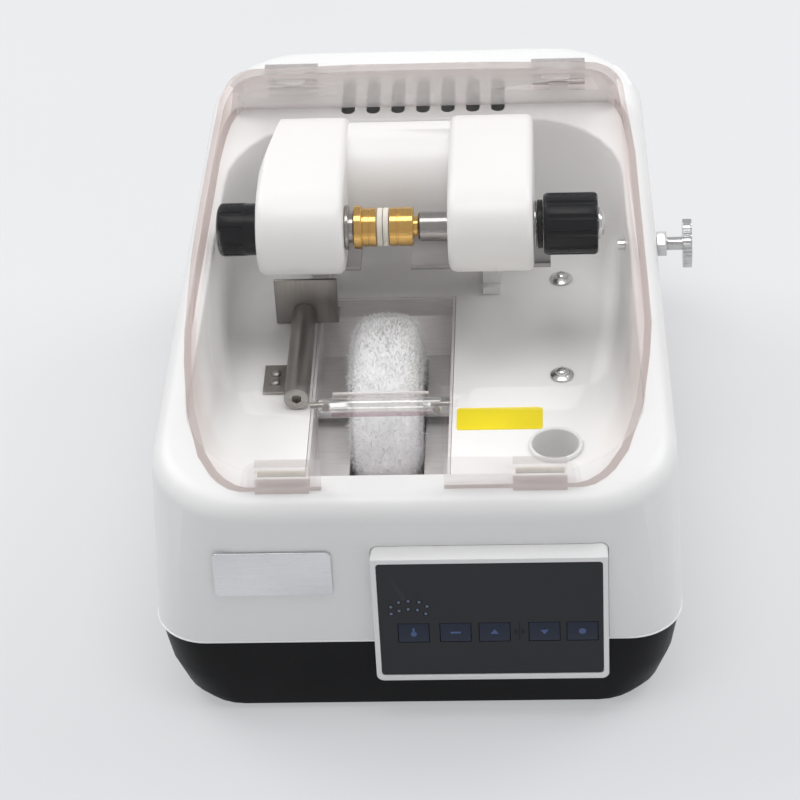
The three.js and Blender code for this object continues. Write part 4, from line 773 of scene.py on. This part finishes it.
# %% Tray fittings
refine("stop_plate", sheet_steel, "machine", edge=0.5)
TUBE_X, TUBE_Z = -70, 92.3
tube = lathe("floor_tube_turned", [(-44.9, 0), (-44.9, 4.6), (-45.1, 5.0), (-45.5, 6.2), (-45.1, 7),
             (36.4, 7), (36.7, 6.6), (36.7, 0)], TUBE_X, TUBE_Z, axis="Y")
socket = lathe("socket", [(-48, 0), (-48, 3), (-39.9, 3), (-39.9, 0)], TUBE_X, TUBE_Z, steps=6, axis="Y")
dress(settle(cut(tube, socket), 30), sheet_steel, "machine", ("floor_tube",))
refine("tube_clip", sheet_steel, "machine", edge=0.3)


def floor_screw(name, node, y):
    head = lathe(name, [(75.3, 0), (75.3, 1.8), (85.3, 1.8), (85.3, 6.4), (85.6, 6.75), (86.2, 6.5),
                 (87.1, 4.9), (87.3, 4.4), (87.0, 3.9), (88.0, 3.7), (88.9, 3.0), (89.5, 1.8), (89.7, 0)],
                 77.3, y, steps=64, axis="Z")
    cut(head, slab("cross", 75.2, 79.4, y - 0.45, y + 0.45, 88.6, 91))
    cut(head, slab("cross", 76.85, 77.75, y - 2.1, y + 2.1, 88.6, 91))
    return dress(settle(head, 30), plated_steel, "machine", (node,))


floor_screw("floor_screw_front", "floor_screw_1", -17)
floor_screw("floor_screw_rear", "floor_screw_2", 77)
port = lathe("port_cup_turned", [(64.5, 0), (64.5, 11.8), (65.5, 12.8), (86.8, 12.8), (87.3, 13.2),
             (87.5, 13.9), (87.3, 14.6), (86.6, 15), (85.3, 15), (85.3, 14), (63, 14), (63, 0)],
             73.4, -81.6, axis="Z")
dress(settle(port, 35), white_shell, "machine", ("port_cup",))
label = sheet("floor_label", round_box(42.7, -56, 47.5, 20, 2.2), lambda x, y: at(x, y, 85.04),
              (0, 0, 0.16))
dress(settle(label, 30), label_yellow, "machine", ())
print("tray fittings made")

# %% [markdown]
# The thumb screw in the right wall has a knurled rim, already cut in its solid. The edges of its
# notches and of its square nut are rounded a little, as plated hardware's are.

# %% Thumb screw
refine("thumb_nut", plated_steel, "machine", edge=0.5)
refine("thumb_screw", plated_steel, "thumb_body", edge=0.15)
assign(["thumb_tip"], plated_steel)
print("thumb screw made")

# %% [markdown]
# The panel stands proud of the front as a white bezel round a dark film. Under the film lie five
# flat keys. Each carries one simple sign, and a few unlit dots sit above the first key.

# %% Panel
refine("panel_housing", white_shell, "machine", edge=0.7)
refine("panel_overlay", panel_film, "machine")
KEY_MIDDLES = [-1.4, 20.4, 40.7, 66.6, 86.3]
for number in range(1, 6):
    refine(f"key_{number}", key_film, f"key_body_{number}", edge=0.25)
assign(["panel_lights"], light_off)
FILM_Y = -206.6


def mark(name, corners, body, finish):
    """A flat sign on the film: corners are (x, z) in millimetres, raised by a hair."""
    piece = sheet(name, corners, lambda x, z: at(x, FILM_Y - 0.02, z), (0, -0.04, 0))
    return dress(settle(piece, 30), finish, body, ())


def disc(x, z, radius, count=20):
    return [(x + radius * math.cos(2 * math.pi * i / count), z + radius * math.sin(2 * math.pi * i / count))
            for i in range(count)]


def bar(x, z, width, height):
    return [(x - width / 2, z - height / 2), (x + width / 2, z - height / 2),
            (x + width / 2, z + height / 2), (x - width / 2, z + height / 2)]


KEY_Z = 60.4
mark("key_1_drop", disc(KEY_MIDDLES[0], KEY_Z - 0.8, 1.6, 16), "key_body_1", mark_blue)
mark("key_1_stem", bar(KEY_MIDDLES[0], KEY_Z + 1.9, 1.2, 2.6), "key_body_1", mark_blue)
mark("key_2_line", bar(KEY_MIDDLES[1], KEY_Z, 5.4, 1.2), "key_body_2", mark_blue)
mark("key_3_up", [(KEY_MIDDLES[2] - 2.2, KEY_Z - 1.2), (KEY_MIDDLES[2] + 2.2, KEY_Z - 1.2),
     (KEY_MIDDLES[2], KEY_Z + 1.9)], "key_body_3", mark_blue)
mark("key_4_down", [(KEY_MIDDLES[3] - 2.2, KEY_Z + 1.2), (KEY_MIDDLES[3], KEY_Z - 1.9),
     (KEY_MIDDLES[3] + 2.2, KEY_Z + 1.2)], "key_body_4", mark_blue)
mark("key_5_ring", disc(KEY_MIDDLES[4], KEY_Z, 1.9, 24), "key_body_5", mark_blue)
for side in (-1, 1):
    mark(f"sign_arrow_{side + 1}", [(53.6 + side * 1.0, KEY_Z - 2.2), (53.6 + side * 3.4, KEY_Z),
         (53.6 + side * 1.0, KEY_Z + 2.2)], "machine", mark_dark)
mark("sign_line", bar(53.6, KEY_Z, 0.7, 12.5), "machine", mark_dark)
print("panel made")

# %% [markdown]
# A small plate of brushed aluminium sits on the front wall, with a thin bright edge all round.

# %% Front plate
refine("front_plate", plate_aluminium, "machine", edge=0.2)
print("front plate made")

# %% [markdown]
# The lid is one thin moulded dome. Its shape comes from the solid, smoothed so that the highlights
# of the lamps run over it in long soft bands.

# %% Clear lid
lid = refine("lid", clear_lid, "lid_body", smooth=40, flatten=0.05)
NOTCH_LEFT, NOTCH_RIGHT, NOTCH_BACK, NOTCH_TOP = -47, 18, -156.8, 174
notch_faces = paint(lid, clear_edge, lambda c, n: NOTCH_LEFT < c.x < NOTCH_RIGHT and c.y < NOTCH_BACK
                    and abs(n.x) > 0.5 and c.z < NOTCH_TOP)
# The lid's rear wall gets the milky white as painted reflection.
rear_faces = paint(lid, clear_rear_painted_reflection, lambda c, n: c.y > 120 and n.y * n.y > 0.2 and c.z > deck_height(c.y) + 1)
block_faces = paint(lid, clear_block, lambda c, n: (c.y > 134 and 62 < abs(c.x) < 93 and c.z > 170)
                    or (c.y < -176.5 and c.z < 156.5 and 52 < abs(c.x) < 80))
rim_faces = paint(lid, clear_rim, lambda c, n: n.z < -0.7 and c.z < deck_height(c.y) + 3
                  and not (c.y < -176.5 and 52 < abs(c.x) < 80))
print("lid faces", len(lid.data.polygons), "notch", notch_faces, "rear", rear_faces, "blocks",
      block_faces, "rim", rim_faces)

# %% [markdown]
# The flap and the hinge blocks are clear mouldings as well, held by small pins. Two plain screws sit
# in the flap. A thin white plate lies on the lid above each hinge as a painted highlight, standing in
# for the lamp's reflection in the top of the hinge block.

# %% Flap, hinges and lug pins
flap = refine("lid_flap", clear_block, "flap_body", edge=0.3)
paint(flap, clear_edge, lambda c, n: n.y < -0.5 and -43 < c.x < 15 and c.y < -175)
paint(flap, clear_bright, lambda c, n: n.y > 0.3 and -43 < c.x < 15 and c.y > -166)
for side in ("left", "right"):
    refine(f"hinge_block_{side}", clear_block, "machine", edge=0.3)
assign(["hinge_pin_left", "hinge_pin_right"], plated_steel)
assign(["flap_pin_left", "flap_pin_right"], sheet_steel)
for name, x in (("lug_pin_left", -66), ("lug_pin_right", 66)):
    pin = lathe(name, [(x - 12.5, 0), (x - 12.5, 1.3), (x - 12.2, 1.6), (x + 12.2, 1.6), (x + 12.5, 1.3),
                       (x + 12.5, 0)], -183, 148.5, steps=24)
    dress(settle(pin), felt_pale, "lid_body", ())
# White plates on the lid: a painted highlight of the lamp in each hinge block's top.
for name, x in (("hinge_painted_highlight_left", -77.0), ("hinge_painted_highlight_right", 76.2)):
    pad = sheet(name, round_box(x, 129.5, 16.5, 10.5, 0.8), lambda x, y: at(x, y, 193.26), (0, 0, 0.3))
    dress(settle(pad, 30), white_cover, "lid_body", ())
for name, x, z in (("flap_screw_left", -41.9, 183.2), ("flap_screw_right", 14.3, 180.2)):
    screw = lathe(name, [(z - 0.6, 0), (z - 0.6, 1.9), (z + 1.2, 1.9), (z + 2.0, 1.3), (z + 2.2, 0)],
                  x, -174, steps=28, axis="Z")
    dress(settle(screw), sheet_steel, "flap_body", ())
print("flap, hinges and lug pins made")

# %% [markdown]
# The setting is a wide pale floor, two soft lamps above and behind, one overhead, and an even sky.
# The floor shows a pale glow to the camera and to mirrors, so the light on the machine stays at a
# plain level. The glow darkens towards the front as a painted falloff of the light.

# %% Floor, lamps and sky
bpy.ops.object.select_all(action="DESELECT")
FLOOR_GLOW = 0.5
bpy.ops.mesh.primitive_plane_add(size=12, location=(0, 0, 0))
floor = bpy.context.object
floor.name = "studio_floor"
floor_finish = Finish("floor_pale", Roughness=0.6)
floor_finish.set("Base Color", floor_finish.blend(floor_finish.between(
    floor_finish.noise(2.0, detail=2.0), 0.0, 1.0), (0.69, 0.695, 0.705), (0.72, 0.725, 0.735)))
seen = floor_finish.node("ShaderNodeLightPath", output="Is Camera Ray")
mirrored = floor_finish.node("ShaderNodeLightPath", output="Is Glossy Ray")
passed = floor_finish.node("ShaderNodeLightPath", output="Is Transmission Ray")
depth = floor_finish.node("ShaderNodeSeparateXYZ", {}, {0: floor_finish.place()}, "Y")
# The glow's colour darkens towards the front: painted falloff of the light.
far = floor_finish.node("ShaderNodeMapRange", {"clamp": True}, {"Value": depth, "From Min": -0.45,
                        "From Max": 0.0, "To Min": 0.0, "To Max": 1.0})
glow = floor_finish.node("ShaderNodeEmission", {}, {"Color": floor_finish.blend(far, (0.69, 0.70, 0.73),
                         (0.84, 0.845, 0.86)), "Strength": 1.0})
floor_mix = floor_finish.node("ShaderNodeMixShader", {}, {0: (seen + mirrored + passed) * FLOOR_GLOW,
                              1: Wire(floor_finish, floor_finish.main.outputs[0]), 2: glow})
floor_finish.feed(floor_finish.out.inputs["Surface"], floor_mix)
floor.data.materials.append(floor_finish.material)


def lamp(name, place, target, size, watts):
    data = bpy.data.lights.new(name, "AREA")
    data.shape = "RECTANGLE"
    data.size, data.size_y = size
    data.energy = watts
    piece = bpy.data.objects.new(name, data)
    piece.location = place
    piece.rotation_euler = (Vector(target) - Vector(place)).to_track_quat("-Z", "Y").to_euler()
    bpy.context.scene.collection.objects.link(piece)
    return piece


AIM = (0, 0, 0.1)
lamp("left_softbox", (-1.35, 0.75, 1.75), AIM, (1.1, 1.1), 16.5)
lamp("right_softbox", (1.4, 0.7, 1.7), AIM, (1.1, 1.1), 14.5)
lamp("top_softbox", (0.0, -0.3, 2.3), AIM, (1.5, 0.9), 15.5)
world = bpy.data.worlds.new("studio_sky")
bpy.context.scene.world = world
world.use_nodes = True
world.node_tree.nodes["Background"].inputs["Color"].default_value = (0.985, 0.99, 1.0, 1)
world.node_tree.nodes["Background"].inputs["Strength"].default_value = 0.535
bpy.context.scene.view_settings.view_transform = "Standard"
print("setting made")
